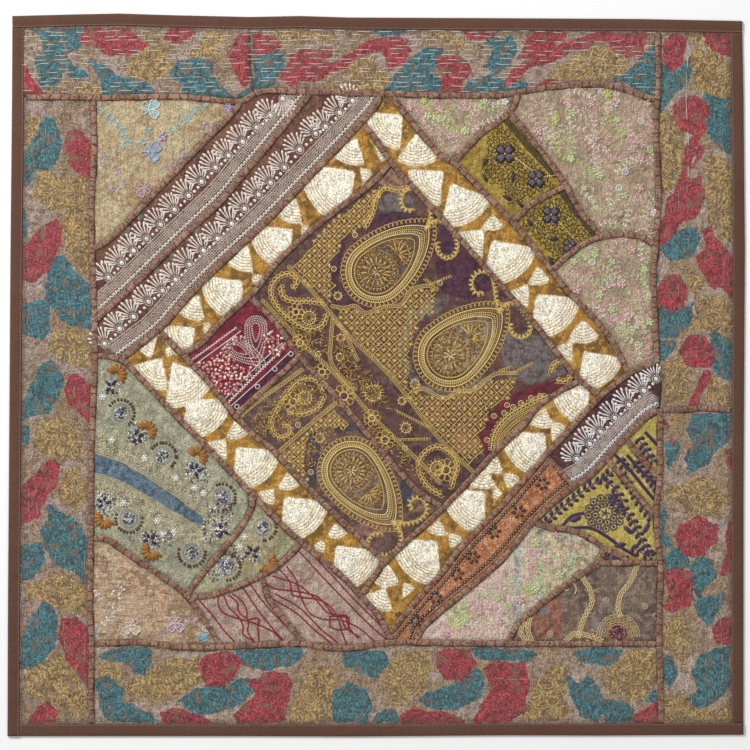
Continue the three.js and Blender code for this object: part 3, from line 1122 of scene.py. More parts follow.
@dataclass(frozen=True)
class Blot:
    """A printed or dyed shape: an ellipse, a thick line, or an area with straight sides.

    Args:
        pixels: its middle, or the points of the line, or the corners of the area.
        size: its two half-widths in pixels, or the line's half-width, or nothing for an area.
        turn: the first half-width's direction in degrees, anticlockwise from the right.
    """

    pixels: tuple[tuple[float, float], ...]
    size: tuple[float, ...]
    turn: float = 0.0

    def distance(self, points: np.ndarray) -> np.ndarray:
        """The distance of points from its edge, negative inside.

        Args:
            points: places in metres.

        Returns:
            One distance for each place.
        """
        if not self.size:
            corners = place((*self.pixels, self.pixels[0]))
            away = Relief.distances(points, resample(corners, 0.002))
            return np.where(inside(points, corners), -away, away)
        if len(self.pixels) > 1:
            return Relief.distances(points, smooth(place(self.pixels))) - self.size[0] * PIXEL
        off = points - place(self.pixels)
        c, s = math.cos(math.radians(self.turn)), math.sin(math.radians(self.turn))
        a, b = self.size[0] * PIXEL, self.size[1] * PIXEL
        u, v = off[:, 0] * c + off[:, 1] * s, off[:, 1] * c - off[:, 0] * s
        return (np.hypot(u / a, v / b) - 1) * min(a, b)


@dataclass(frozen=True)
class Fan:
    """A printed sector of a circle.

    Args:
        x: its point's place across the photograph, in pixels.
        y: its point's place down the photograph.
        radius: its radius in pixels.
        start: the direction of its first side in degrees, anticlockwise from the right.
        end: the direction of its second side.
    """

    x: float
    y: float
    radius: float
    start: float
    end: float

    def rim(self, points: np.ndarray) -> np.ndarray:
        """How far points lie within its arc."""
        return self.radius * PIXEL - np.linalg.norm(points - place([(self.x, self.y)]), axis=1)

    def distance(self, points: np.ndarray) -> np.ndarray:
        """The distance of points from its edge, negative inside.

        Args:
            points: places in metres.

        Returns:
            One distance for each place.
        """
        off = points - place([(self.x, self.y)])
        middle = math.radians((self.start + self.end) / 2)
        half = math.radians(self.end - self.start) / 2
        turn = np.arctan2(off[:, 1], off[:, 0]) - middle
        turn = np.abs((turn + math.pi) % math.tau - math.pi)
        sides = np.hypot(*off.T) * np.sin(np.clip(turn - half, -math.pi / 2, math.pi / 2))
        return np.maximum(sides, -self.rim(points))


@dataclass(frozen=True)
class Layer:
    """One colour printed on a cloth.

    Args:
        colour: the colour.
        blots: where it is.
        warp: how uneven its edges are, in metres.
        cover: how much it hides what is under it.
        veins: how strongly a printed line work shows in it.
        line: that line work's colour.
        speckle: the colour of its fine speckles and arcs, or nothing.
    """

    colour: Colour
    blots: tuple[Blot | Fan, ...]
    warp: float = 0.014
    cover: float = 0.9
    veins: float = 0.0
    line: Colour = (204, 176, 164)
    speckle: Colour | None = None

    def distance(self, points: np.ndarray) -> np.ndarray:
        """The distance of points from the nearest edge, negative inside, within 30 mm.

        Args:
            points: places in metres.

        Returns:
            One distance for each place.
        """
        near = np.full(len(points), 0.03)
        for blot in self.blots:
            near = np.minimum(near, blot.distance(points))
        return near

    def arcs(self, points: np.ndarray) -> np.ndarray:
        """How far points lie within the rim of the nearest fan."""
        off = np.array([fan.distance(points) for fan in self.blots])
        rim = np.array([fan.rim(points) for fan in self.blots])
        return np.take_along_axis(rim, off.argmin(axis=0)[None], 0)[0]


@dataclass(frozen=True)
class ClothFinish:
    """The finish of a woven patch.

    Args:
        name: the finish.
        base: its colour.
        second: the colour of its large blotches.
        third: the colour of its small blotches.
        layers: what is printed on it.
        blotch: how many large blotches there are to the metre.
        scroll: how strongly a fine printed line work shows.
        roughness: its roughness.
        sheen: the strength of its sheen.
        crumple: how deep its fine creases are, in metres.
        slub: how many thick and thin places there are to the metre, along each axis.
        folds: how many small folds there are to the metre, along each axis.
        ruck: how much painted shade lies in those folds.
    """

    name: str
    base: Colour
    second: Colour
    third: Colour
    layers: tuple[Layer, ...] = ()
    blotch: float = 26.0
    scroll: float = 0.0
    roughness: float = 0.8
    sheen: float = 0.25
    crumple: float = 0.0028
    slub: tuple[float, float, float] = (760.0, 60.0, 1.0)
    folds: tuple[float, float, float] = (30.0, 24.0, 1.0)
    ruck: float = 0.30

    def material(self) -> bpy.types.Material:
        """Makes the material, which reads the attributes seam and print_0, print_1 and so on.

        Returns:
            The material.
        """

        def build(net: Net, at: Wire, feed: Callable) -> None:
            """Dyes, prints and weaves the cloth, and darkens it with painted shade and dirt by its seams and
            with painted shade in its creases and folds.

            Args:
                net: the material's nodes.
                at: the Object coordinates.
                feed: links a wire to a socket.
            """
            spots, fine = net.noise(at, self.blotch, 3), net.noise(at, 130, 3)
            wander, sway = net.noise(at, 170, 3) - 0.5, net.noise(at, 42, 1) - 0.5
            bloom = net.add("ShaderNodeTexVoronoi", None, {"Vector": at, "Scale": 44.0}, "Distance")
            phase = bloom * 34.0 + wander * 16.0 + sway * 12.0
            curls, gleam = phase.wave().below(-0.62, 0.5), (phase + 3.1).wave().below(-0.8, 0.3)
            folds = net.add("ShaderNodeVectorMath", {"operation": "MULTIPLY"}, {0: at, 1: self.folds})
            ruck = abs(net.noise(folds, 1, 3) - 0.5)
            colour = net.mix((1 - spots.below(0.5, 0.16)), linear(self.base), linear(self.second))
            colour = net.mix((1 - fine.below(0.55, 0.1)) * 0.7, colour, linear(self.third))
            if self.scroll:
                mottle = (1 - net.noise(at, 62, 2).below(0.55, 0.06)) * self.scroll
                colour = net.mix(mottle * 0.5, colour, linear((124, 96, 60)))
                colour = net.mix(curls * self.scroll * 0.5, colour, linear((96, 70, 52)))
                pale = ((wander + bloom * 0.6) * 40.0).wave().below(-0.5, 0.4) * self.scroll
                colour = net.mix(pale * 0.4, colour, linear((206, 186, 164)))
            for index, layer in enumerate(self.layers):
                edge = net.attribute(f"print_{index}") + (wander * 0.5 + sway) * layer.warp * 2
                mask = edge.below(0, 0.0012) * layer.cover
                darker = tuple((0.9 if layer.speckle else 0.66) * c for c in layer.colour)
                shade = net.mix(1 - fine.below(0.46, 0.2), linear(darker), linear(layer.colour))
                shade = net.mix(curls * layer.veins, shade, linear(layer.line))
                lighter = tuple(1.15 * c + 24 for c in layer.colour)
                shade = net.mix(gleam * layer.veins * 0.6, shade, linear(lighter))
                if layer.speckle:
                    rim = net.attribute(f"arcs_{index}")
                    arcs = ((rim + wander * 0.002) * 1500.0).wave().below(-0.45, 0.5)
                    arcs = arcs * rim.below(0.024, 0.006) * 0.75
                    dots = (1 - net.noise(at, 620, 1).below(0.58, 0.05)) * 0.75
                    outline = abs(edge).below(0.0011, 0.0008) * 0.8
                    shade = net.mix(arcs.most(dots).most(outline), shade, linear(layer.speckle))
                colour = net.mix(mask, colour, shade)
                if layer.veins:
                    over = mask * (1 - net.noise(at, 75, 2).below(0.60, 0.04)) * 0.75
                    colour = net.mix(over, colour, linear((122, 98, 78)))
            thread = net.add("ShaderNodeVectorMath", {"operation": "MULTIPLY"}, {0: at, 1: self.slub})
            grain = net.noise(at, 560, 3) * 2.5 + net.noise(thread, 1, 2) * 1.1 - 0.8
            grey = net.add("ShaderNodeCombineColor", None, {"Red": grain, "Green": grain, "Blue": grain})
            colour = net.mix(1.0, colour, grey, "MULTIPLY")
            # Painted shade and dirt darken the cloth by its seams; painted shade darkens it in the darker
            # creases and along the small folds.
            shade_and_dirt = net.attribute("seam").below(0.0055, 0.007) * 0.5
            shade_and_dirt = shade_and_dirt.most(net.attribute("fold").below(0.0004, 0.0022) * 0.8)
            shade_and_dirt = shade_and_dirt.most(ruck.below(0.0, 0.035) * self.ruck)
            feed("Base Color", net.mix(shade_and_dirt, colour, (0.06, 0.04, 0.028, 1)))
            creases = net.noise(at, 95, 4) * self.crumple + net.noise(at, 420, 2) * 0.0006
            feed("Normal", net.add("ShaderNodeBump", None, {
                "Strength": 0.9, "Distance": 1.0,
                "Height": creases + grain * 0.00018 + ruck.least(0.1) * 0.012,
            }))

        return material(
            self.name, build, Roughness=self.roughness, Sheen_Weight=self.sheen, Specular_IOR_Level=0.3
        )


# Embroidery


def drawn(*pixels: Point, step: float = 0.0015) -> np.ndarray:
    """A smooth path through pixels, in metres."""
    return smooth(place(pixels), step)


def circle(middle: Point, radius: float, start: float = 0.0, end: float = 360.0) -> np.ndarray:
    """An arc of so many pixels about a pixel, between two directions in degrees."""
    turns = np.radians(np.linspace(start, end, max(4, int(abs(end - start) * radius / 60))))
    return place([middle]) + radius * PIXEL * np.column_stack([np.cos(turns), np.sin(turns)])


# The square metres of cloth that one filling stitch has, and the turns of such stitches in radians
# to the metre, across and along the cloth
SWIRL_SPACE = 0.000027
SWIRLS = (75, 68)


class Needlework:
    """What is sewn to one part of the cloth: stitches, threads, beads and sequins.

    Args:
        name: the part of the cloth.
    """

    TREES: dict[str, bpy.types.NodeTree] = {}
    FINISHES: dict[str, bpy.types.Material] = {}

    def __init__(self, name: str) -> None:
        """Starts with nothing sewn on.

        Args:
            name: the name that its pieces begin with.
        """
        self.name = name
        self.marks: dict[Form, list[np.ndarray]] = {form: [] for form in Form}
        self.threads: list[tuple[np.ndarray, float, float, Colour]] = []
        self.draw = np.random.default_rng(sum(map(ord, name)))

    def set_on(self, form: Form, points: np.ndarray, turns: object, size: Sequence[float], tint: Colour,
               lift: float = 0.0) -> None:
        """Sets marks on the cloth.

        Args:
            form: what they are.
            points: their places in metres.
            turns: the angle of each, or of all.
            size: their length, width and height in metres.
            tint: their colour.
            lift: how far above the cloth they stand.
        """
        points = np.asarray(points, float).reshape(-1, 2)
        count = len(points)
        rows = np.empty((count, 10))
        rows[:, :2] = points
        rows[:, 2] = lift
        rows[:, 3] = turns
        rows[:, 4:7] = size
        shade = self.draw.uniform(0.86, 1.1, (count, 1))
        rows[:, 7:10] = np.clip(np.array(linear(tint)[:3]) * shade, 0, 1)
        self.marks[form].append(rows)

    def thread(self, points: np.ndarray, width: float, tint: Colour, lift: float = 0.0) -> None:
        """Lays a thread along points in metres."""
        self.threads.append((np.asarray(points, float), width, lift, tint))

    def row(self, path: np.ndarray, pitch: float, size: Sequence[float], tint: Colour, turn: float = 0.0,
            form: Form = Form.STITCH, uneven: float = 0.12, lift: float = 0.0) -> None:
        """Sets marks in a row along a path.

        Args:
            path: the path in metres.
            pitch: the distance between two marks.
            size: their length, width and height.
            tint: their colour.
            turn: their angle to the path.
            form: what they are.
            uneven: how much that angle varies.
            lift: how far above the cloth they stand.
        """
        if len(path) > 1:
            points = resample(path, pitch)
            turns = headings(points) + turn + self.draw.normal(0, uneven, len(points))
            self.set_on(form, points, turns, size, tint, lift)

    def braid(self, path: np.ndarray, pitch: float, size: Sequence[float], tint: Colour,
              turn: float = 0.6,
              lift: float = 0.0) -> None:
        """Sews a braid: stitches along a path that lean to either side in turn.

        Args:
            path: the path in metres.
            pitch: the distance between two stitches.
            size: their length, width and height.
            tint: their colour.
            turn: how far they lean, in radians.
            lift: how far above the cloth they stand.
        """
        if len(path) > 1:
            points = resample(path, pitch)
            lean = turn * np.where(np.arange(len(points)) % 2, 1, -1)
            turns = headings(points) + lean + self.draw.normal(0, 0.1, len(points))
            self.set_on(Form.STITCH, points, turns, size, tint, lift)

    def loops(self, path: np.ndarray, pitch: float, radius: float, width: float, tint: Colour) -> None:
        """Lays a thread in loops along a path.

        Args:
            path: the path in metres.
            pitch: the distance between two loops.
            radius: a loop's radius.
            width: the thread's width.
            tint: its colour.
        """
        points = resample(path, pitch / 7)
        phase = math.tau * lengths(points) / pitch
        turn = headings(points)
        ahead = np.column_stack([np.cos(turn), np.sin(turn)])
        aside = np.column_stack([-np.sin(turn), np.cos(turn)])
        swing = radius * self.draw.uniform(0.85, 1.15, len(points))[:, None]
        self.thread(
            points + swing * (aside * np.sin(phase)[:, None] - ahead * np.cos(phase)[:, None] * 0.8),
            width, tint
        )

    def ring(self, middle: Point, radius: float, width: float, tint: Colour) -> None:
        """Lays a thread in a ring of so many pixels about a pixel."""
        self.thread(circle(middle, radius), width, tint)

    def rays(self, middle: Point, radii: tuple[float, float], arc: tuple[float, float], count: int,
             width: float, tint: Colour, form: Form = Form.STITCH) -> None:
        """Sets stitches that point away from a pixel.

        Args:
            middle: the pixel.
            radii: where the stitches begin and end, in pixels.
            arc: the directions of the first and the last in degrees, anticlockwise from the right.
            count: how many.
            width: their width in metres.
            tint: their colour.
            form: what they are.
        """
        turns = np.radians(np.linspace(*arc, count)) + self.draw.normal(0, 0.03, count)
        away = np.column_stack([np.cos(turns), np.sin(turns)])
        points = place([middle]) + away * (sum(radii) / 2 * PIXEL)
        size = ((radii[1] - radii[0]) * PIXEL, width, width * 0.8)
        self.set_on(form, points, turns, size, tint)

    def flower(self, middle: Point, radius: float, tint: Colour, heart: Colour, petals: int = 5,
               turn: float = 20.0) -> None:
        """Sews a small flower with a bead in its heart."""
        last = turn + 360 - 360 / petals
        self.rays(middle, (radius * 0.2, radius), (turn, last), petals, radius * 0.75 * PIXEL, tint)
        self.set_on(Form.BEAD, place([middle]), 0, [radius * 0.5 * PIXEL] * 3, heart, 0.0004)

    def scatter(self, outline: Sequence[Point], pitch: float, size: Sequence[float],
                tints: Sequence[Colour],
                form: Form = Form.BEAD, turns: tuple[float, float] = (0.0, math.tau)) -> None:
        """Fills an outline of pixels with marks, so many pixels apart and in random colours.

        Args:
            outline: the outline in pixels.
            pitch: how many pixels lie between two marks.
            size: their length, width and height in metres.
            tints: their colours.
            form: what they are.
            turns: the least and the largest angle.
        """
        edge = place(outline)
        step = pitch * PIXEL
        low, high = edge.min(axis=0), edge.max(axis=0)
        grid = grid_over(low, high, step)
        grid = grid + self.draw.uniform(-0.42, 0.42, grid.shape) * step
        grid = grid[inside(grid, edge)]
        pick = self.draw.integers(0, len(tints), len(grid))
        for index, tint in enumerate(tints):
            some = grid[pick == index]
            self.set_on(form, some, self.draw.uniform(*turns, len(some)), size, tint)

    def swirls(self, outline: np.ndarray, light: Colour, dark: Colour) -> None:
        """Fills an outline in metres with light and dark stitches that swirl.

        Args:
            outline: the outline in metres.
            light: the colour of the lower stitches.
            dark: the colour of the upper ones.
        """
        low, high = outline.min(axis=0), outline.max(axis=0)
        spots = self.draw.uniform(low, high, (int(np.prod(high - low) / SWIRL_SPACE), 2))
        spots = spots[inside(spots, outline)]
        across, along = SWIRLS
        swirl = 3.2 * np.sin(spots[:, 0] * across) + 3.2 * np.cos(spots[:, 1] * along)
        for length, tint, lean, lift in ((0.0082, light, 0.0, 0.0), (0.0058, dark, 0.7, 0.0004)):
            turns = swirl + lean + self.draw.normal(0, 0.25, len(spots))
            self.set_on(Form.STITCH, spots, turns, (length, 0.0014, 0.0012), tint, lift)

    def trellis(self, outline: Sequence[Point], pitch: float, width: float, tint: Colour,
                turn: float = 45.0) -> None:
        """Lays crossing threads inside an outline of pixels and a small star in each opening.

        Args:
            outline: the outline in pixels.
            pitch: how many pixels lie between two threads.
            width: a thread's width in metres.
            tint: its colour.
            turn: how far the threads are turned, in degrees.
        """
        edge = place(outline)
        step = pitch * PIXEL
        c, s = math.cos(math.radians(turn)), math.sin(math.radians(turn))
        axes = np.array([[c, s], [-s, c]])
        local = edge @ axes.T
        low, high = local.min(axis=0), local.max(axis=0)
        for k in (0, 1):
            for across in np.arange(low[1 - k] + step / 2, high[1 - k], step):
                along = np.arange(low[k], high[k], 0.0015)
                line = np.empty((len(along), 2))
                line[:, k] = along
                line[:, 1 - k] = across + 0.0006 * np.sin(along * 190 + across * 999)
                line = line @ axes
                kept = inside(line, edge)
                for part in np.split(np.arange(len(line)), np.flatnonzero(np.diff(kept)) + 1):
                    if len(part) > 2 and kept[part[0]]:
                        self.thread(line[part], width, tint)
        cells = grid_over(low, high, step) @ axes
        cells = cells[inside(cells, edge)]
        for lean in (0.0, 0.79, 1.57, 2.36):
            turns = lean + self.draw.normal(0, 0.2, len(cells))
            self.set_on(Form.STITCH, cells, turns, (step * 0.98, width * 0.72, width * 0.8),
                        (236, 200, 116))

    def build(self) -> list[bpy.types.Object]:
        """Makes one piece of each kind that this part of the cloth has.

        Returns:
            The pieces.
        """
        made = []
        for form, rows in self.marks.items():
            if rows:
                made.append(self._marks(form, np.vstack(rows)))
        if self.threads:
            made.append(self._threads())
        return made

    def _tree(self, name: str, make: Callable[[], bpy.types.NodeTree]) -> bpy.types.NodeTree:
        """A tree that all parts of the cloth share."""
        if name not in self.TREES:
            self.TREES[name] = make()
        return self.TREES[name]

    @classmethod
    def finish(cls, finish: ThreadFinish) -> bpy.types.Material:
        """A finish that all parts of the cloth share."""
        if finish.name not in cls.FINISHES:
            cls.FINISHES[finish.name] = finish.material()
        return cls.FINISHES[finish.name]

    def _marks(self, form: Form, rows: np.ndarray) -> bpy.types.Object:
        """Makes the piece that holds every stitch, bead or sequin.

        Args:
            form: what the marks are.
            rows: the place, lift, turn, size and colour of each.

        Returns:
            The piece.
        """
        height = np.maximum(RELIEF.top(rows[:, :2]) + rows[:, 2], rows[:, 6] * GRAIN_RADIUS)
        finish = {Form.STITCH: THREAD, Form.BEAD: BEAD, Form.SEQUIN: SEQUIN}[form]
        vertices = np.column_stack([rows[:, :2], height])
        made = mesh_object(f"{self.name}_{form.value}", vertices, ())
        put(made.data, "turn", rows[:, 3])
        put(made.data, "size", rows[:, 4:7])
        put(made.data, "tint", np.column_stack([rows[:, 7:10], np.ones(len(rows))]))
        tree = self._tree(form.value, lambda: point_tree(form))
        grown(made, tree, {"Segments": 6, "Rings": 3, "Finish": self.finish(finish)})
        return tell(made, finish.name)

    def _threads(self) -> bpy.types.Object:
        """Makes the piece that holds every laid thread.

        Returns:
            The piece.
        """
        vertices, edges, widths, tints = [], [], [], []
        for points, width, lift, tint in self.threads:
            first = len(vertices)
            heights = RELIEF.top(points) + lift + width * 0.25
            vertices += [(*p, z) for p, z in zip(points, heights)]
            edges += [(first + i, first + i + 1) for i in range(len(points) - 1)]
            widths += [width] * len(points)
            tints += [linear(tint)] * len(points)
        made = mesh_object(f"{self.name}_threads", vertices, (), None, edges)
        put(made.data, "width", np.array(widths))
        put(made.data, "tint", np.array(tints))
        tree = self._tree("roll", roll_tree)
        grown(made, tree, {"Sides": 4, "Flatness": 0.8, "Finish": self.finish(THREAD)})
        return tell(made, THREAD.name)


# The paler second gold stands for the metal thread's glint: a painted highlight laid on some lines.
GOLD, GOLD_GLINT, GOLD_DARK = (220, 184, 96), (250, 226, 150), (130, 94, 48)
SILVER, SILVER_DARK = (238, 226, 214), (214, 198, 186)
WHITE, NAVY = (236, 232, 224), (36, 40, 74)


# The scallops of the frame, in the order upper left, lower left, lower right and upper right
SCALLOPS = (
    Fan(357, 135, 31.3, 218, 285), Fan(356, 171, 55.1, 172, 261), Fan(296, 197, 27, 215, 285),
    Fan(293, 229, 43.2, 174, 266), Fan(247.5, 243, 29.2, 219, 283), Fan(243, 280, 42.1, 174, 269),
    Fan(198, 293, 28.1, 221, 287), Fan(195, 327, 33.5, 176, 266), Fan(160, 331, 28.1, 202, 253),
    Fan(362, 187, 19, 50, 95), Fan(300.5, 242, 18, 42, 90), Fan(252.5, 292, 18.5, 45, 92),
    Fan(202.5, 336, 15, 45, 85), Fan(372, 138, 25.9, 287, 315),
    Fan(172, 362, 46.4, 261, 342), Fan(190, 398, 41, 251, 359), Fan(236, 446, 45.4, 264, 354),
    Fan(284, 496, 46.4, 264, 353), Fan(335, 545, 47, 264, 354), Fan(162, 357, 33.5, 196, 281),
    Fan(234, 420, 20, 245, 320), Fan(287, 472, 19, 235, 318), Fan(335.5, 522, 17, 235, 318),
    Fan(166, 344, 13, 262, 322), Fan(226, 438, 23.8, 192, 275), Fan(274.5, 487, 18, 195, 272),
    Fan(325, 537, 16, 215, 272),
    Fan(590, 388, 38.9, 172, 266), Fan(546, 433, 44.8, 176, 272), Fan(486, 492, 43.2, 172, 268),
    Fan(438, 541, 45.4, 174, 274), Fan(544, 404, 24.8, 225, 295), Fan(496, 453, 21, 235, 292),
    Fan(484, 466, 23.8, 222, 303), Fan(440, 517, 19, 222, 292), Fan(388, 562, 24.8, 212, 301),
    Fan(386, 588, 23.8, 197, 288), Fan(552.5, 448, 25.9, 57, 95), Fan(508, 490, 17, 35, 110),
    Fan(492.5, 504, 17, 45, 90), Fan(449.5, 552, 19, 42, 95), Fan(402, 600, 18, 40, 90),
    Fan(403, 114, 36.7, 176, 266), Fan(417, 131, 35.6, 234, 309), Fan(443.5, 171, 35.6, 176, 266),
    Fan(450, 182, 45.4, 258, 339), Fan(492, 212, 19, 235, 310), Fan(485, 229, 30.2, 185, 265),
    Fan(491.5, 239, 46.4, 258, 349), Fan(538, 265, 21, 238, 310), Fan(529, 283, 25.9, 202, 269),
    Fan(536, 293.5, 45.4, 261, 354), Fan(583, 318, 25.9, 232, 313), Fan(573, 339, 23.8, 202, 268),
    Fan(583, 350, 41, 261, 349),
)


def circle_pixels(middle: Point, radius: float, count: int = 14) -> list[tuple[float, float]]:
    """So many points round a pixel."""
    turns = [math.tau * index / count for index in range(count)]
    return [(middle[0] + radius * math.cos(turn), middle[1] + radius * math.sin(turn)) for turn in turns]


@dataclass(frozen=True)
class Embroidery:
    """What is sewn to one part of the cloth.

    Args:
        piece: what the names of its pieces begin with.
    """

    piece: str

    def sew(self, work: Needlework) -> None:
        """Sets its stitches, threads, beads and sequins."""

    def build(self) -> None:
        """Sews it and makes its pieces."""
        work = Needlework(self.piece)
        self.sew(work)
        work.build()


@dataclass(frozen=True)
class LaceBand:
    """A band of metal lace: fans of rays along one edge and rows of chain below them.

    Args:
        node: the patch that it is sewn to.
        seam: the seam below it.
        fans: the heart of each fan, in pixels.
        tint: its thread's colour.
        rows: how far each row of chain lies from the seam, in pixels.
    """

    node: str
    seam: str
    fans: tuple[tuple[float, float], ...]
    tint: Colour = SILVER
    rows: tuple[float, ...] = (10.2, 12.2, 14.2, 16.2)

    def sew(self, work: Needlework) -> None:
        """Sews the fans, the sequins, the chain rows, the rope and the edging.

        Args:
            work: the needlework that it is added to.
        """
        for index, heart in enumerate(self.fans):
            self.fan(work, heart, 131)
            if index + 1 < len(self.fans):
                after = self.fans[index + 1]
                for share in (0.36, 0.64):
                    between = [heart[k] + (after[k] - heart[k]) * share + (1.0, 0.6)[k] for k in (0, 1)]
                    self.sequin(work, between, 3.6)
        edge = section_outline(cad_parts[self.node])
        for row in self.rows:
            self.part(work, edge, row, 0.0030, (0.0032, 0.0015, 0.0014), SILVER_DARK, 0.75)
        self.part(work, edge, 6.6, 0.0028, (0.0064, 0.0020, 0.0028), self.tint, 1.15)
        self.part(work, edge, 3.6, 0.0030, (0.0030, 0.0014, 0.0014), SILVER_DARK, 0.6)
        self.part(work, edge, 19.2, 0.0030, (0.0030, 0.0014, 0.0014), self.tint, 0.5)

    def part(self, work: Needlework, edge: np.ndarray, pixels: float, pitch: float, size: Sequence[float],
             tint: Colour, turn: float) -> None:
        """Sews the part of one row that lies on the patch.

        Args:
            work: the needlework that it is added to.
            edge: the patch's outline.
            pixels: how far the row lies from the band's edge.
            pitch: the distance between two stitches.
            size: their length, width and height.
            tint: their colour.
            turn: how far they lean, in radians.
        """
        line = beside(LINES[self.seam], -pixels * PIXEL)
        line = line[inside(line, edge)]
        if len(line) > 2:
            work.braid(line, pitch, size, tint, turn)

    def fan(self, work: Needlework, heart: Point, heading: float) -> None:
        """Sews one fan of tapering rays with a sequin on its heart.

        Args:
            work: the needlework that it is added to.
            heart: where its rays meet.
            heading: where it opens to, in degrees anticlockwise from the right.
        """
        for turn in np.linspace(-60, 60, 9):
            reach = 19.5 - 6.5 * (turn / 60) ** 2
            work.rays(heart, (4.0, reach), (heading + turn,) * 2, 1, 0.0021, self.tint)
            work.rays(heart, (reach - 4.5, reach + 0.5), (heading + turn,) * 2, 1, 0.0034, self.tint)
        work.row(circle(heart, 3.9), 0.0026, (0.0026, 0.0013, 0.0013), self.tint, 0.5)
        self.sequin(work, heart, 5.4)

    @staticmethod
    def sequin(work: Needlework, middle: Point, pixels: float) -> None:
        """Sews on a sequin of so many pixels."""
        side = pixels * PIXEL
        work.set_on(Form.SEQUIN, place([middle]), 0, (side, side, 0.0014), WHITE, 0.0008)


LACE_BANDS = (
    LaceBand("lace_band_first", "lace_second", (
        (271, 116), (257, 128), (243, 142), (229, 156), (216, 168), (202, 182), (189, 196), (175, 210),
        (161, 225), (147, 239), (134, 251), (122, 263), (109, 278),
    )),
    LaceBand("lace_band_second", "outer_upper_left", (
        (353, 101), (340, 113), (326, 127), (316, 134), (300, 150), (285, 168), (271, 183), (259, 195),
        (245, 209), (232, 224), (218, 239), (204, 251), (190, 265), (176, 280), (163, 291), (149, 302),
        (134, 317), (120, 329), (105, 344),
    )),
    LaceBand("lace_band_third", "orange_pale", (
        (656, 379), (644, 391), (629, 405), (615, 418), (601, 432), (590, 444), (577, 459),
    ), (240, 236, 234)),
)


@dataclass(frozen=True)
class Lace(Embroidery):
    """The three bands of lace."""

    piece: str = "lace"
    bands: tuple[LaceBand, ...] = LACE_BANDS

    def sew(self, work: Needlework) -> None:
        """Sews the bands and one fan that stands apart."""
        for band in self.bands:
            band.sew(work)
        self.bands[0].fan(work, (283, 99), 285)


@dataclass(frozen=True)
class Paisley:
    """A golden paisley: a drop with a fringe of loops.

    Args:
        middle: the middle of its round end, in pixels.
        radius: that end's radius in pixels.
        tip: its tip.
        curls: lines that leave the tip and curl.
        flower: how many rays the flower in its round end has.
    """

    middle: tuple[float, float]
    radius: float
    tip: tuple[float, float]
    curls: tuple[tuple[tuple[float, float], ...], ...] = ()
    flower: int = 16

    def drop(self, share: float) -> np.ndarray:
        """Its outline, shrunk about the middle of its round end.

        Args:
            share: its size, as a share of the whole.

        Returns:
            The outline in metres.
        """
        (x, y), (a, b) = self.middle, self.tip
        ahead = math.atan2(b - y, a - x)
        turns = np.linspace(0, math.tau, 61)
        front = np.cos(turns) > 0
        along = np.cos(turns) * np.where(front, math.hypot(a - x, b - y), self.radius) * share
        across = np.sin(turns) * np.where(front, np.abs(np.sin(turns)) ** 0.45, 1.0) * self.radius * share
        c, s = math.cos(ahead), math.sin(ahead)
        return smooth(place(np.column_stack([x + along * c - across * s, y + along * s + across * c])),
                      0.0015)

    def sew(self, work: Needlework) -> None:
        """Sews its filling, its outlines, its fringe, its flower, its leaves and its curls.

        Args:
            work: the needlework that it is added to.
        """
        work.swirls(self.drop(0.70), (176, 138, 76), GOLD_DARK)
        work.loops(self.drop(1.13), 0.0062, 0.0029, 0.0011, GOLD)
        for share, tint in ((1.02, GOLD_GLINT), (0.93, GOLD), (0.84, GOLD_GLINT), (0.74, GOLD)):
            work.thread(self.drop(share), 0.0014, tint)
        work.row(self.drop(0.885), 0.0026, (0.0034, 0.0013, 0.0012), GOLD_GLINT, 1.4)
        work.row(self.drop(0.975), 0.0030, (0.0032, 0.0013, 0.0012), GOLD, 1.2)
        work.row(self.drop(0.79), 0.0030, (0.0030, 0.0012, 0.0012), GOLD_DARK, 1.2)
        inner = self.radius * 0.6
        work.loops(circle(self.middle, inner), 0.0052, 0.0020, 0.0010, GOLD)
        work.rays(self.middle, (inner * 0.45, inner * 0.9), (0, 345), self.flower, 0.0024, GOLD)
        work.row(circle(self.middle, inner * 1.2), 0.0034, (0.0030, 0.0014, 0.0014), GOLD, 0.7)
        work.ring(self.middle, inner * 0.44, 0.0012, GOLD)
        work.rays(self.middle, (0, inner * 0.4), (10, 310), 7, 0.0017, GOLD_GLINT)
        toward = [self.middle[k] + (self.tip[k] - self.middle[k]) * 0.42 for k in (0, 1)]
        ahead = math.degrees(math.atan2(self.middle[1] - self.tip[1], self.tip[0] - self.middle[0]))
        for lean in (-90, -66, -42, -18, 18, 42, 66, 90):
            work.rays(toward, (1, self.radius * 0.42), (ahead + lean,) * 2, 1, 0.0022, GOLD)
        work.loops(circle(toward, self.radius * 0.42, ahead - 100, ahead + 100), 0.0052, 0.0018, 0.0011,
                   GOLD)
        for curl in self.curls:
            path = drawn(self.tip, *curl)
            work.loops(path, 0.0060, 0.0036, 0.0012, GOLD)
            work.loops(path, 0.0060, 0.0017, 0.0011, GOLD_GLINT)


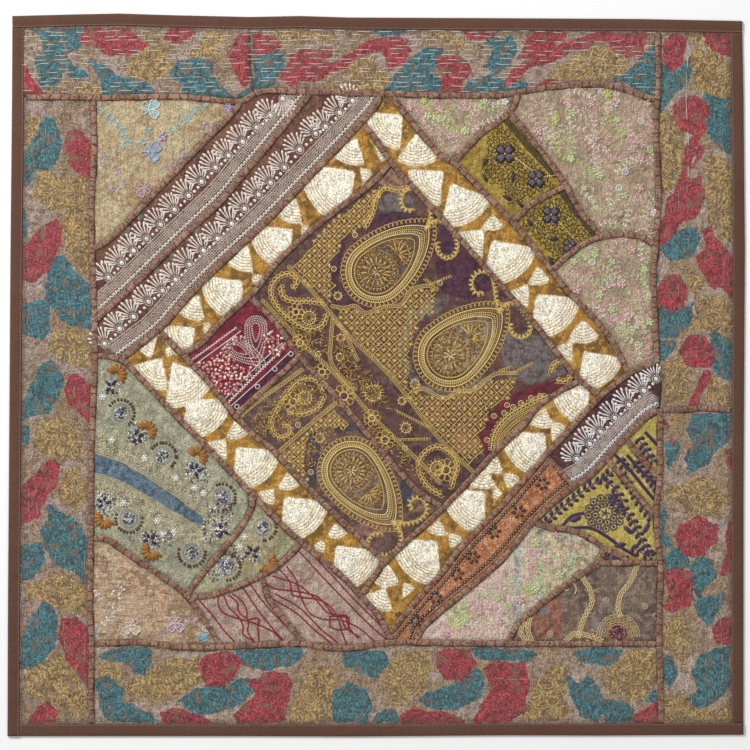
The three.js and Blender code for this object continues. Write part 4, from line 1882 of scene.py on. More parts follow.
PAISLEYS = (
    Paisley((376.5, 272), 30, (427, 229), (
        ((431, 217), (429, 203), (423, 194), (413, 188), (404, 191), (400.5, 201), (405, 210),
         (413, 211)),
        ((434, 222), (443, 222), (453, 232), (457, 243), (454, 255), (446, 258), (438, 251), (438, 243)),
    )),
    Paisley((450, 355), 31, (500, 312), (
        ((497, 302), (495, 288), (492, 276), (484, 271), (475, 274), (471, 284), (476, 294), (484, 293)),
        ((506, 305), (515, 304), (524, 313), (530, 324), (528, 334), (519, 337), (511, 331), (511, 323)),
    )),
    Paisley((351.6, 471), 29, (392.5, 522.5), (
        ((408, 524), (420, 520), (427, 512), (425, 501), (416, 497), (409, 503), (412, 510)),
        ((399, 530), (401, 541), (396, 550), (385, 555), (374, 552), (368, 544), (373, 535), (382, 534)),
    ), 18),
)
LEAVES = (
    ((327, 313), (322, 325), (309, 329), (293, 321), (278, 307), (271, 291), (277, 279), (288, 274),
     (297, 281), (292, 289)),
    ((325, 303), (309, 301), (295, 301), (284, 297), (281, 286)),
    ((324, 392), (319, 382), (309, 378), (296, 383), (285, 396), (277, 408), (271, 421), (273, 432),
     (281, 438), (291, 433), (289, 425), (282, 425)),
    ((324, 396), (318, 407), (308, 412), (297, 414), (287, 411)),
    ((442, 495), (430, 488), (422, 477), (419, 464), (426, 452), (438, 447), (451, 454), (457, 464),
     (454, 477), (451, 487)),
    ((548, 395), (523, 406), (504, 419), (494, 433), (491, 450)),
    ((551, 373), (556, 363), (566, 362), (572, 371), (566, 381), (556, 380)),
    ((415, 186), (400, 190), (384, 188), (376, 198), (372, 214), (364, 228)),
)
DOUBLE_LINES = (
    ((262, 300), (282, 321), (304, 345), (327, 366), (348, 388), (374, 418), (402, 445), (426, 468),
     (441, 484)),
    ((288, 266), (311, 290), (332, 315), (350, 337), (382, 367), (402, 390), (437, 436), (470, 469),
     (480, 478)),
    ((238, 418), (262, 398), (284, 383), (303, 369)),
    ((279, 452), (306, 428), (336, 403)),
    ((551, 397), (527, 409), (508, 421), (498, 434), (495, 449)),
    ((553, 400), (531, 412), (513, 424), (502, 437), (499, 446)),
    ((555, 404), (535, 415), (518, 427), (507, 438)),
    ((333, 318), (331, 341), (331, 361), (341, 377), (356, 390)),
    ((336, 322), (345, 332), (351, 346), (358, 361)),
    ((331, 306), (345, 308), (355, 306), (366, 313), (380, 308), (392, 306), (401, 305), (412, 290),
     (430, 286), (438, 290)),
    ((412, 391), (425, 389), (437, 396), (447, 398), (457, 391), (470, 391), (485, 381), (496, 374),
     (517, 373)),
)
TRELLISES = (
    ((386, 184), (375, 205), (366, 223), (352, 233), (341, 241), (340, 252), (330, 262), (330, 274),
     (337, 285), (331, 297), (331, 304), (312, 288), (292, 268), (322, 232), (352, 205)),
    ((334, 308), (355, 308), (366, 315), (380, 310), (401, 307), (413, 290), (436, 289), (436, 300),
     (432, 315), (420, 320), (414, 336), (409, 352), (411, 368), (407, 384), (414, 392), (437, 398),
     (455, 393), (485, 383), (517, 376), (510, 397), (489, 410), (487, 424), (480, 434), (481, 444),
     (486, 452), (468, 466), (437, 434), (402, 388), (362, 349)),
    ((282, 454), (334, 409), (350, 424), (344, 430), (330, 428), (318, 430), (312, 432), (308, 440),
     (305, 456), (304, 470), (312, 484), (300, 472)),
)


@dataclass(frozen=True)
class Medallion(Embroidery):
    """The golden embroidery of the centre.

    Args:
        paisleys: its large paisleys.
        leaves: its looped lines.
        bands: its straight bands.
        suns: its rayed discs: the middle in pixels, both radii and the number of rays.
        wreaths: its rings of rings: the middle, the radius and the number.
        tips: its short looped lines, by their ends.
        grounds: the areas that loose stitches fill.
        rings: its single rings.
    """

    piece: str = "centre_gold"
    paisleys: tuple[Paisley, ...] = PAISLEYS
    leaves: tuple = LEAVES
    bands: tuple = DOUBLE_LINES
    suns: tuple = (
        ((309, 318), 1, 11, 14), ((305, 398), 1, 11, 14), ((437, 468), 1, 11, 14),
        ((373, 393), 3, 13, 18),
        ((402, 401), 1, 6, 9), ((340, 357), 1, 6, 9), ((341, 338), 1, 6, 8), ((406, 428), 1, 8, 10),
        ((338, 296), 1, 6, 9), ((415, 384), 1, 7, 9), ((320, 438), 1, 7, 9),
    )
    wreaths: tuple = (
        ((344, 396), 8, 9), ((385, 440), 7, 8), ((300, 343), 6, 8), ((446, 470), 8, 9),
        ((293, 402), 7, 8), ((296, 312), 6, 7), ((372, 418), 6, 7), ((322, 372), 6, 7),
    )
    tips: tuple = (
        ((430, 285), (452, 276)), ((432, 283), (424, 279)), ((512, 374), (533, 363)),
        ((500, 371), (512, 367)), ((396, 411), (430, 428)), ((399, 440), (430, 439)),
    )
    grounds: tuple = (
        ((330, 330), (352, 350), (378, 384), (392, 410), (366, 400), (340, 372)),
        ((352, 402), (380, 424), (420, 466), (440, 484), (404, 470), (368, 430)),
        ((262, 306), (286, 330), (318, 362), (330, 352), (322, 330), (300, 330), (276, 312)),
        ((248, 424), (268, 404), (300, 380), (318, 390), (300, 414), (268, 440)),
        ((312, 430), (330, 424), (352, 430), (330, 440), (312, 470), (306, 460)),
    )
    rings: tuple = (
        (355, 235), (334, 269), (507, 405), (494, 416), (487, 440), (311, 472), (298, 425), (318, 354),
        (405, 448), (440, 283), (540, 396), (531, 398), (521, 403), (513, 407), (504, 413),
    )

    def sew(self, work: Needlework) -> None:
        """Sews the paisleys, the leaves, the bands, the discs and what lies between them.

        Args:
            work: the needlework that it is added to.
        """
        for paisley in self.paisleys:
            paisley.sew(work)
        for leaf in self.leaves:
            work.loops(drawn(*leaf), 0.0062, 0.0044, 0.0013, GOLD)
            work.thread(drawn(*leaf), 0.0013, GOLD_GLINT)
            work.row(drawn(*leaf), 0.0040, (0.0052, 0.0015, 0.0014), GOLD_DARK, 1.2)
        for line in self.bands:
            path = drawn(*line)
            for side in (-0.0022, 0.0022):
                work.thread(beside(path, side), 0.0012, GOLD)
            work.braid(path, 0.0028, (0.0028, 0.0011, 0.0011), GOLD_GLINT, 0.8)
        for middle, inner, outer, count in self.suns:
            work.rays(middle, (inner, outer), (0, 340), count, 0.0012, GOLD)
            work.ring(middle, outer * 0.6, 0.0010, GOLD_GLINT)
        for ends in self.tips:
            half = tuple(sum(values) / 2 for values in zip(*ends))
            work.loops(drawn(ends[0], half, ends[1]), 0.0036, 0.0018, 0.0010, GOLD)
        for middle, radius, count in self.wreaths:
            for spot in circle_pixels(middle, radius, count):
                work.ring(spot, radius * 0.42, 0.0012, GOLD)
            work.ring(middle, radius * 0.5, 0.0012, GOLD_GLINT)
        for ground in self.grounds:
            work.swirls(place(ground), GOLD, GOLD_DARK)
        for spot in self.rings:
            work.ring(spot, 2.4, 0.0011, GOLD_GLINT)
            work.set_on(Form.BEAD, place([spot]), 0, [0.0016] * 3, SILVER, 0.0004)


@dataclass(frozen=True)
class Trellis(Embroidery):
    """The golden lattices of the centre.

    Args:
        areas: their outlines in pixels.
        pitches: the size of their openings in pixels.
    """

    piece: str = "centre_trellis"
    areas: tuple = TRELLISES
    pitches: tuple[float, ...] = (7.0, 7.6, 6.4)

    def sew(self, work: Needlework) -> None:
        """Sews each lattice."""
        for outline, pitch in zip(self.areas, self.pitches):
            work.trellis(outline, pitch, 0.0013, GOLD)


@dataclass(frozen=True)
class MaroonPanel(Embroidery):
    """The silver paisleys, lines and beads of the maroon panel."""

    piece: str = "maroon_beads"

    def sew(self, work: Needlework) -> None:
        """Sews the lines, the beads, the paisleys and the rings.

        Args:
            work: the needlework that it is added to.
        """
        for line, tint, size in (
            (((192, 360), (213, 345), (236, 328)), SILVER, (0.0040, 0.0016, 0.0016)),
            (((226, 405), (256, 375), (285, 347)), SILVER, (0.0054, 0.0017, 0.0017)),
        ):
            work.braid(drawn(*line), 0.0022, size, tint, 1.1)
        for line in (((196, 364), (218, 348), (241, 331)), ((229, 408), (260, 380), (291, 351)),
                     ((222, 402), (252, 371), (281, 344))):
            work.thread(drawn(*line), 0.0012, WHITE)
        for outline, pitch in (
            (((197, 364), (226, 350), (238, 366), (262, 366), (250, 378), (229, 398), (218, 392)), 4.2),
            (((262, 336), (272, 328), (290, 346), (276, 358), (264, 350)), 4.4),
            (((222, 350), (240, 333), (247, 338), (236, 343), (226, 356)), 4.4),
        ):
            work.scatter(outline, pitch * 0.86, (0.0048, 0.0048, 0.0022),
                         (SILVER, (214, 180, 166), (196, 150, 140)))
            work.scatter(outline, pitch * 0.72, (0.0030, 0.0030, 0.0030), ((176, 28, 36), (146, 40, 44)))
        for middle, radius, tip in (((236, 348), 7.5, (258, 360)), ((256, 327), 8, (256, 356))):
            drop = Paisley(middle, radius, tip)
            for share in (1.35, 1.08, 0.8, 0.5):
                work.row(drop.drop(share), 0.0024, (0.0026, 0.0014, 0.0014), SILVER, 1.3)
        for spot in ((237, 406.6), (257.6, 386.6), (275, 369), (291, 354)):
            work.ring(spot, 2.2, 0.0012, WHITE)


@dataclass(frozen=True)
class Rosette:
    """A beaded disc with a comb of brown bars along part of its rim.

    Args:
        middle: its middle in pixels.
        heading: where the middle of the comb lies, in degrees anticlockwise from the right.
        reach: how far the comb runs to either side, in degrees.
    """

    middle: tuple[float, float]
    heading: float
    reach: float = 100

    def sew(self, work: Needlework) -> None:
        """Sews its comb, its two rings and its beads.

        Args:
            work: the needlework that it is added to.
        """
        count = int(self.reach / 6.5)
        arc = (self.heading - self.reach, self.heading + self.reach)
        work.rays(self.middle, (11.4, 15.2), arc, count, 0.0034, (84, 56, 34))
        for radius, tint in ((10.4, (206, 202, 190)), (8.6, (150, 148, 150)), (7.2, (190, 188, 186))):
            work.row(circle(self.middle, radius), 0.0026, (0.0026, 0.0013, 0.0013), tint, 0.8)
        work.scatter(circle_pixels(self.middle, 6.4), 2.2, (0.0030, 0.0030, 0.0024),
                     (NAVY, (214, 212, 222), NAVY, (110, 114, 150)))


ROSETTES = (
    Rosette((121, 413), 45), Rosette((163, 456), 45), Rosette((222, 497), 15), Rosette((129, 519), 262),
    Rosette((192, 553), 265), Rosette((263, 527), 350, 80), Rosette((227, 567), 350, 80),
)


@dataclass(frozen=True)
class SagePanels(Embroidery):
    """The discs, half suns, petals and sequins of the sage panels and the couched ribbon."""

    piece: str = "sage"

    def sew(self, work: Needlework) -> None:
        """Sews the discs, the suns, the flowers and the ribbon.

        Args:
            work: the needlework that it is added to.
        """
        for rosette in ROSETTES:
            rosette.sew(work)
        for x, y, heading in ((116, 375, 50), (146, 431, 50), (197, 457, 50), (152, 550, 235),
                              (105, 518, 235),
                              (267, 563, 320)):
            work.rays((x, y), (2.0, 12), (heading - 92, heading + 92), 8, 0.0058, (166, 108, 40))
            work.row(circle((x, y), 4.6, heading - 90, heading + 90), 0.002, (0.0044, 0.0020, 0.0022),
                     (120, 76, 34))
        for x, y in ((112, 387), (137, 437), (195, 470), (104, 503), (150, 540), (222, 530), (252, 553)):
            work.rays((x, y), (1.5, 7.5), (x * 7.0, x * 7.0 + 216), 4, 0.0050, NAVY)
            for heading in (30, 110, 220, 300):
                work.rays((x, y), (5.5, 9.5), (x * 5.0 + heading,) * 2, 1, 0.0030, (54, 58, 88))
            work.scatter(((x - 9, y - 9), (x + 9, y - 9), (x + 9, y + 9), (x - 9, y + 9)), 3.4,
                         (0.0024, 0.0024, 0.0020), (WHITE, (196, 146, 126), (150, 150, 168), WHITE))
        for spot in ((103, 397), (112, 440), (145, 458), (176, 478), (195, 488), (204, 493), (124, 503),
                     (157, 521),
                     (163, 534), (174, 532), (218, 530), (240, 547), (245, 537)):
            work.rays(spot, (0.8, 3.8), (0, 300), 6, 0.0030, WHITE)
            work.set_on(Form.SEQUIN, place([spot]), 0, (0.0046, 0.0046, 0.0018), WHITE, 0.0008)
        for outline in (((206, 505), (238, 500), (232, 520), (214, 545), (200, 540)),
                        ((140, 530), (176, 528), (172, 545), (146, 548)),
                     ((96, 486), (116, 498), (112, 520), (96, 512)),
                     ((204, 572), (232, 540), (246, 560), (214, 584)),
                     ((126, 424), (146, 420), (150, 440), (132, 444)),
                     ((184, 462), (208, 466), (210, 484), (190, 482))):
            work.scatter(outline, 3.2, (0.0028, 0.0028, 0.0022),
                         (WHITE, NAVY, (196, 190, 196), (60, 66, 100)))
        ribbon = drawn((84, 460), (120, 471), (148, 487), (176, 505), (202, 522))
        for side in (-1, 1):
            for gap, width in ((0.0140, 0.0013), (0.0172, 0.0013), (0.0200, 0.0010)):
                ahead = lengths(ribbon)[:, None] / lengths(ribbon)[-1]
                turn = headings(ribbon)
                aside = np.column_stack([-np.sin(turn), np.cos(turn)])
                work.thread(ribbon + side * (gap - 0.0055 * ahead) * aside, width, (198, 186, 156))
        round_end = circle((200, 521), 8, -150, 60)
        work.thread(round_end, 0.0012, (198, 186, 156))
        for outline in (((96, 436), (130, 446), (170, 474), (205, 500), (214, 512), (180, 494),
                         (150, 476), (96, 446)),
                     ((96, 482), (118, 484), (150, 502), (180, 522), (204, 540), (180, 536), (140, 512),
                      (96, 500))):
            work.scatter(outline, 2.6, (0.0019, 0.0019, 0.0015),
                         ((214, 200, 164), (150, 138, 108), (232, 226, 210)))


def butterfly(work: Needlework, middle: Point, size: float, tint: Colour, rim: Colour, turn: float) -> None:
    """Sews a butterfly: two filled wings ahead of its body and two smaller ones in outline.

    Args:
        work: the needlework that it belongs to.
        middle: its body's middle, in pixels.
        size: the length of its longest wing, in pixels.
        tint: the colour of its filled wings.
        rim: the colour of their outline.
        turn: where it heads, in degrees anticlockwise from the right.
    """
    share = np.linspace(0, math.tau, 29)
    along = (1 - np.cos(share)) / 2 * (1 - 0.16 * np.exp(-(((share - math.pi) / 0.4) ** 2)))
    lighter = tuple(c * 0.6 + 96 for c in tint)
    for angle, reach, wide in ((42, 1.0, 0.46), (-40, 0.9, 0.43), (122, 0.74, 0.32), (206, 0.62, 0.30)):
        heading = math.radians(angle + turn)
        c, s = math.cos(heading), math.sin(heading)
        across = np.sin(share) * wide * np.sqrt(np.maximum(along, 0))
        away = size * reach * np.column_stack([along * c - across * s, -along * s - across * c])
        if wide > 0.4:
            stitch = (0.0042, 0.0015, 0.0010)
            lean = (heading - 0.2, heading + 0.2)
            work.scatter(middle + away, 1.1, stitch, (tint, tint, lighter), Form.STITCH, lean)
        work.thread(smooth(place(middle + away), 0.0015), 0.0015, rim if wide > 0.4 else lighter, 0.0006)
        work.thread(smooth(place(middle + away * 0.55), 0.0015), 0.0009, rim, 0.0009)
    work.rays(middle, (size * 0.1, size * 0.7), (turn + 160, turn + 172), 2, 0.0008, rim)


AQUA, LILAC, PEACH = (138, 194, 204), (184, 158, 190), (228, 180, 142)
LIME, PALE_GREEN, PINK = (198, 212, 110), (200, 216, 156), (220, 176, 170)
BUTTERFLIES = (
    ((149, 110), 13.5, (150, 200, 208), WHITE, 4), ((149, 152), 14.5, (184, 166, 196), AQUA, -8),
    ((229, 110), 7, LILAC, LILAC, 60), ((144, 188), 11, (176, 146, 188), PEACH, 200),
    ((131, 625), 12, (226, 188, 158), WHITE, -88), ((175, 623), 11.5, (178, 152, 190), (240, 214, 196), -84),
    ((203, 636), 6, AQUA, AQUA, 250), ((209, 630), 7, LILAC, WHITE, 120),
)
SPRIGS = (
    (AQUA, ((98, 105), (105, 113), (110, 120), (118, 124), (124, 133), (126, 140)), 3.4),
    (AQUA, ((131, 140), (132, 148)), 3), (AQUA, ((117, 151), (123, 146)), 3),
    (AQUA, ((148, 128), (146, 136), (142, 142)), 3),
    (AQUA, ((170, 130), (180, 125), (187, 118), (192, 112), (203, 105)), 3.6),
    (LILAC, ((203, 125), (208, 128), (217, 127)), 3.6), (LILAC, ((98, 148), (102, 155), (106, 163)), 3.4),
    (LILAC, ((115, 165), (118, 172)), 3.2), (LILAC, ((165, 168), (176, 163), (185, 155)), 3.6),
    (LILAC, ((110, 190), (118, 187), (124, 183)), 3.6), (PEACH, ((118, 106), (124, 102), (132, 103)), 3),
    (PEACH, ((105, 205), (108, 212)), 3), (PEACH, ((152, 180), (157, 176), (161, 178)), 2.8),
    (PEACH, ((119, 566), (125, 574), (132, 580), (140, 590), (146, 598)), 3.2),
    (PEACH, ((162, 588), (164, 596), (158, 606), (162, 614)), 3.2), (PEACH, ((146, 618), (152, 622)), 3),
    (WHITE, ((112, 592), (118, 597), (122, 590)), 3.2), (WHITE, ((112, 606), (118, 608)), 3),
    (WHITE, ((103, 625), (107, 620), (112, 616)), 3), (WHITE, ((94, 590), (100, 598)), 2.8),
    (AQUA, ((95, 637), (96, 628)), 3), (LILAC, ((188, 620), (194, 622)), 3.2),
    (LILAC, ((158, 636), (163, 632)), 3),
)


def sprig(work: Needlework, pixels: Sequence[Point], leaf: float, tint: Colour) -> None:
    """Sews a fine stem with a pair of small leaves at every few pixels.

    Args:
        work: the needlework that it is added to.
        pixels: the stem's points.
        leaf: a leaf's length in pixels.
        tint: its colour.
    """
    stem = smooth(place(pixels), 0.0015)
    work.thread(stem, 0.0007, tint)
    points = resample(stem, leaf * 1.5 * PIXEL)
    turns = headings(points)
    size = (leaf * PIXEL, leaf * 0.46 * PIXEL, 0.0010)
    for side in (-1, 1):
        lean = turns + side * (0.85 + work.draw.uniform(-0.3, 0.3, len(turns)))
        away = np.column_stack([np.cos(lean), np.sin(lean)]) * leaf * 0.55 * PIXEL
        work.set_on(Form.STITCH, points + away, lean, size, tint)


@dataclass(frozen=True)
class BeigePanels(Embroidery):
    """The butterflies and sprigs of the two beige panels."""

    piece: str = "butterflies"

    def sew(self, work: Needlework) -> None:
        """Sews the butterflies, the sprigs and the stems.

        Args:
            work: the needlework that it is added to.
        """
        for middle, size, tint, rim, turn in BUTTERFLIES:
            butterfly(work, middle, size, tint, rim, turn)
        for tint, pixels, leaf in SPRIGS:
            sprig(work, pixels, leaf * 1.35, tint)
        work.flower((163, 137), 5, LILAC, WHITE)
        for spot in ((101, 109), (107, 116), (121, 128), (125, 137), (176, 128), (190, 115)):
            work.set_on(Form.BEAD, place([spot]), 0, [0.0016] * 3, WHITE, 0.0004)


FLOWERS = (
    (555, 122, LIME), (573, 113, PALE_GREEN), (591, 104, PINK), (538, 132, PINK), (608, 94, LIME),
    (571, 159, PALE_GREEN), (641, 161, PINK), (584, 188, PALE_GREEN), (655, 213, WHITE),
    (505, 102, WHITE),
    (424, 101, LIME), (466, 131, PALE_GREEN), (484, 102, PALE_GREEN), (465, 103, PINK), (449, 137, PINK),
    (428, 116, PALE_GREEN), (410, 108, PINK), (440, 110, PINK), (617, 120, PALE_GREEN), (647, 104, PINK),
    (632, 150, PINK), (596, 138, PINK), (600, 176, PALE_GREEN), (640, 188, PINK), (625, 196, PALE_GREEN),
    (595, 255, PALE_GREEN), (590, 275, PINK), (612, 262, PALE_GREEN), (632, 250, PINK),
    (645, 270, PALE_GREEN),
    (600, 295, PALE_GREEN), (622, 285, PINK), (640, 300, PINK), (650, 322, PALE_GREEN), (628, 318, PINK),
    (612, 310, PALE_GREEN), (640, 345, PALE_GREEN), (625, 240, PINK), (574, 262, PALE_GREEN),
    (577, 290, PINK),
    (536, 543, PALE_GREEN), (556, 535, PINK), (575, 556, PALE_GREEN), (548, 560, PINK),
    (560, 575, PALE_GREEN),
    (530, 566, PINK), (512, 580, PALE_GREEN), (497, 598, PALE_GREEN), (520, 600, PINK), (480, 612, PINK),
    (462, 622, PALE_GREEN), (500, 622, PINK), (446, 634, PINK), (535, 590, PALE_GREEN),
)
RINGS = (
    (641, 121, WHITE), (625, 132, PALE_GREEN), (608, 142, PINK), (571, 159, LIME), (625, 172, WHITE),
    (619, 188, WHITE), (616, 207, PINK), (613, 226, PALE_GREEN), (650, 150, PALE_GREEN),
    (605, 278, PALE_GREEN), (632, 270, PINK), (650, 296, WHITE), (618, 330, PALE_GREEN),
    (592, 262, WHITE),
    (533, 552, PINK), (532, 571, PINK), (529, 592, LIME), (508, 606, PALE_GREEN),
)
VINES = (
    (LIME, (551, 108), (557, 115), (555, 122), (552, 134), (555, 142), (567, 142)),
    (LIME, (555, 142), (561, 157), (571, 159), (586, 166), (595, 175)),
    (LIME, (607, 98), (608, 115), (615, 125), (622, 140)),
    (LIME, (424, 101), (432, 112), (440, 122), (454, 129), (466, 131)),
    (LIME, (448, 110), (443, 120)), (PINK, (560, 100), (575, 103), (590, 98), (600, 108)),
    (PINK, (575, 125), (580, 140), (592, 150), (606, 152), (612, 165)),
    (PINK, (630, 100), (640, 112), (650, 118), (652, 135)), (PINK, (585, 160), (600, 162), (615, 158)),
    (PALE_GREEN, (590, 200), (600, 210), (610, 206), (625, 215)),
    (PINK, (600, 232), (615, 236), (632, 226), (650, 232)),
    (PALE_GREEN, (580, 250), (590, 262), (605, 266), (618, 276), (628, 292)),
    (PINK, (566, 275), (580, 280), (592, 290), (600, 305), (615, 318)),
    (PALE_GREEN, (640, 245), (648, 258), (640, 272), (648, 290), (640, 310), (645, 330)),
    (PINK, (415, 100), (420, 118), (432, 132), (442, 140)),
    (PALE_GREEN, (475, 104), (490, 110), (500, 104)),
    (PINK, (530, 110), (536, 122), (532, 138), (542, 150)),
    (PALE_GREEN, (540, 548), (552, 556), (548, 570), (538, 580)),
    (PINK, (470, 612), (485, 604), (500, 612), (515, 605)),
    (PALE_GREEN, (560, 560), (572, 566), (568, 580)),
    (PINK, (440, 622), (455, 630), (470, 628), (485, 636)),
    (PALE_GREEN, (505, 588), (515, 592), (528, 584)),
)


@dataclass(frozen=True)
class PalePanels(Embroidery):
    """The small flowers, rings and vines of the pale panels."""

    piece: str = "pale_flowers"

    def sew(self, work: Needlework) -> None:
        """Sews the drawn ones, then scatters small sprigs between them.

        Args:
            work: the needlework that it is added to.
        """
        for x, y, tint in FLOWERS:
            work.flower((x, y), work.draw.uniform(3.6, 4.8), tint, WHITE, 5, x * 3.0)
        for x, y, tint in RINGS:
            work.ring((x, y), 2.9, 0.0016, tint)
            work.ring((x, y), 1.2, 0.0010, tint)
        for tint, *pixels in VINES:
            sprig(work, pixels, 3.2, tint)
        for node in ("pale_triangle", "pale_upper", "pale_lower", "pale_mint"):
            edge = section_outline(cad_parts[node])
            low, high = edge.min(axis=0), edge.max(axis=0)
            spots = work.draw.uniform(low, high, (int(np.prod(high - low) / 0.00042), 2))
            for x, y in spots / (PIXEL, -PIXEL) + PHOTO_MIDDLE:
                turn, bend = work.draw.uniform(0, math.tau), work.draw.uniform(-0.6, 0.6)
                steps = [(x, y)]
                for _ in range(4):
                    steps.append((steps[-1][0] + 5.2 * math.cos(turn),
                                  steps[-1][1] + 5.2 * math.sin(turn)))
                    turn += bend
                points = place(steps)
                off = np.sqrt(((points[:, None] - edge[None]) ** 2).sum(axis=2)).min()
                if inside(points, edge).all() and off > 0.009:
                    tints = ((226, 196, 188), PALE_GREEN, (236, 222, 208), PINK)
                    sprig(work, steps, 3.8, tints[work.draw.integers(4)])


@dataclass(frozen=True)
class TaupeLines(Embroidery):
    """The red running lines of the taupe panels."""

    piece: str = "taupe_lines"

    def sew(self, work: Needlework) -> None:
        """Sews each line as a chain.

        Args:
            work: the needlework that it is added to.
        """
        lines = (
            ((300, 552), (320, 574), (345, 600), (370, 625), (386, 639)),
            ((306, 548), (330, 573), (355, 600), (376, 621), (391, 637)),
            ((200, 601), (214, 617), (223, 629), (234, 641)),
            ((244, 589), (256, 607), (270, 625), (284, 641)),
            ((251, 585), (265, 604), (282, 622), (303, 642)),
            ((273, 599), (295, 612), (315, 630), (331, 643)),
            ((276, 594), (300, 608), (320, 628), (338, 643)),
            ((219, 596), (218, 603), (223, 612), (234, 617), (248, 621), (262, 626), (275, 633),
             (283, 641)),
            ((224, 596), (229, 607), (238, 616), (243, 626), (243, 634), (252, 640)),
            ((229, 595), (237, 602), (239, 612), (248, 620), (248, 632), (254, 641)),
            ((233, 594), (242, 601), (247, 611), (247, 619), (258, 618), (258, 629), (259, 641)),
            ((263, 579), (271, 587), (286, 590), (302, 592), (318, 597), (327, 606), (333, 614),
             (348, 617)),
            ((273, 576), (286, 580), (299, 585), (309, 593), (317, 601), (327, 612), (340, 617),
             (346, 628), (360, 637)),
            ((280, 570), (290, 582), (292, 594), (302, 597), (320, 600), (331, 607), (338, 619),
             (342, 632), (346, 643)),
            ((287, 567), (296, 580), (300, 594), (305, 606), (311, 614), (323, 619), (341, 620),
             (359, 628), (374, 641)),
            ((330, 616), (347, 616), (348, 628), (331, 627), (330, 616)),
            ((346, 617), (349, 627), (358, 638)),
        )
        for line in lines:
            path = drawn(*line)
            work.thread(path, 0.0018, (112, 18, 36))
            work.row(path, 0.0034, (0.0032, 0.0023, 0.0018), (168, 18, 48), 0, Form.STITCH, 0.1, 0.0003)


@dataclass(frozen=True)
class MustardPanels(Embroidery):
    """The wandering dark line, grey flowers, bead lines and braid of the mustard panels."""

    piece: str = "mustard"

    def sew(self, work: Needlework) -> None:
        """Sews the ground's line, the flowers, the bead lines and the braid.

        Args:
            work: the needlework that it is added to.
        """
        areas = (
            ((500, 121), (520, 146), (548, 176), (555, 186), (530, 196), (512, 208), (500, 188),
             (480, 172), (484, 160), (488, 140)),
            ((524, 212), (556, 196), (574, 214), (594, 238), (574, 252), (558, 264), (536, 240),
             (520, 222)),
        )
        dark = (62, 48, 36)
        for corners in areas:
            outline = place(corners)
            low, high = outline.min(axis=0), outline.max(axis=0)
            step = 4.3 * PIXEL
            grid = grid_over(low, high, step)
            for spot in grid[inside(grid, outline)]:
                turn = work.draw.uniform(0, math.tau)
                t = np.linspace(-1, 1, 9)
                phase = work.draw.uniform(-1, 1)
                bend = np.column_stack([t * 2.6, 1.7 * np.sin(t * 3.6 + phase)]) * PIXEL
                c, s = math.cos(turn), math.sin(turn)
                work.thread(spot + bend @ np.array([[c, s], [-s, c]]), 0.0011, dark)
        violet = (104, 90, 100)
        for x, y, radius in ((505, 154, 12), (536, 179, 11), (551, 215, 11), (570, 246, 9)):
            petals = ((radius, 0.60, (40, 30, 36), 0.0), (radius * 0.86, 0.42, violet, 0.0016))
            for reach, share, tint, lift in petals:
                for heading in (34, 56, 124, 146, 214, 236, 304, 326):
                    turn = math.radians(heading)
                    at = (x + math.cos(turn) * reach * 0.52, y - math.sin(turn) * reach * 0.52)
                    size = (reach * 0.92 * PIXEL, reach * share * PIXEL, 0.0016)
                    work.set_on(Form.STITCH, place([at]), turn, size, tint, lift)
            work.set_on(Form.BEAD, place([(x, y)]), 0, [0.0032] * 3, (206, 186, 70), 0.0022)
        for x, y, turn, size in ((485, 162, 60, 9), (485, 178, -60, 10), (513, 177, 85, 12),
                                 (530, 223, -60, 9),
                                 (507, 198, -30, 12), (551, 261, -65, 12), (554, 239, 5, 9),
                                 (520, 204, -45, 12)):
            work.set_on(Form.STITCH, place([(x, y)]), math.radians(turn),
                        (size * PIXEL, 0.0058, 0.0014), (58, 46, 54))
        for line in (((510, 155), (521, 162), (532, 171)), ((544, 177), (551, 176), (557, 175)),
                     ((559, 222), (568, 232), (580, 246)), ((553, 197), (555, 207)),
                     ((514, 228), (528, 238))):
            work.row(drawn(*line), 0.0026, (0.0022, 0.0022, 0.0018), (232, 206, 128), 0, Form.BEAD)
        for line in (((508, 118), (530, 144), (558, 174)), ((564, 191), (580, 212), (599, 236))):
            path = drawn(*line)
            for side in (-0.0074, -0.0050, -0.0026, -0.0002):
                work.braid(beside(path, side), 0.0024, (0.0036, 0.0019, 0.0017), (36, 30, 32), 0.5)
            work.thread(beside(path, 0.0052), 0.0012, (206, 170, 60))


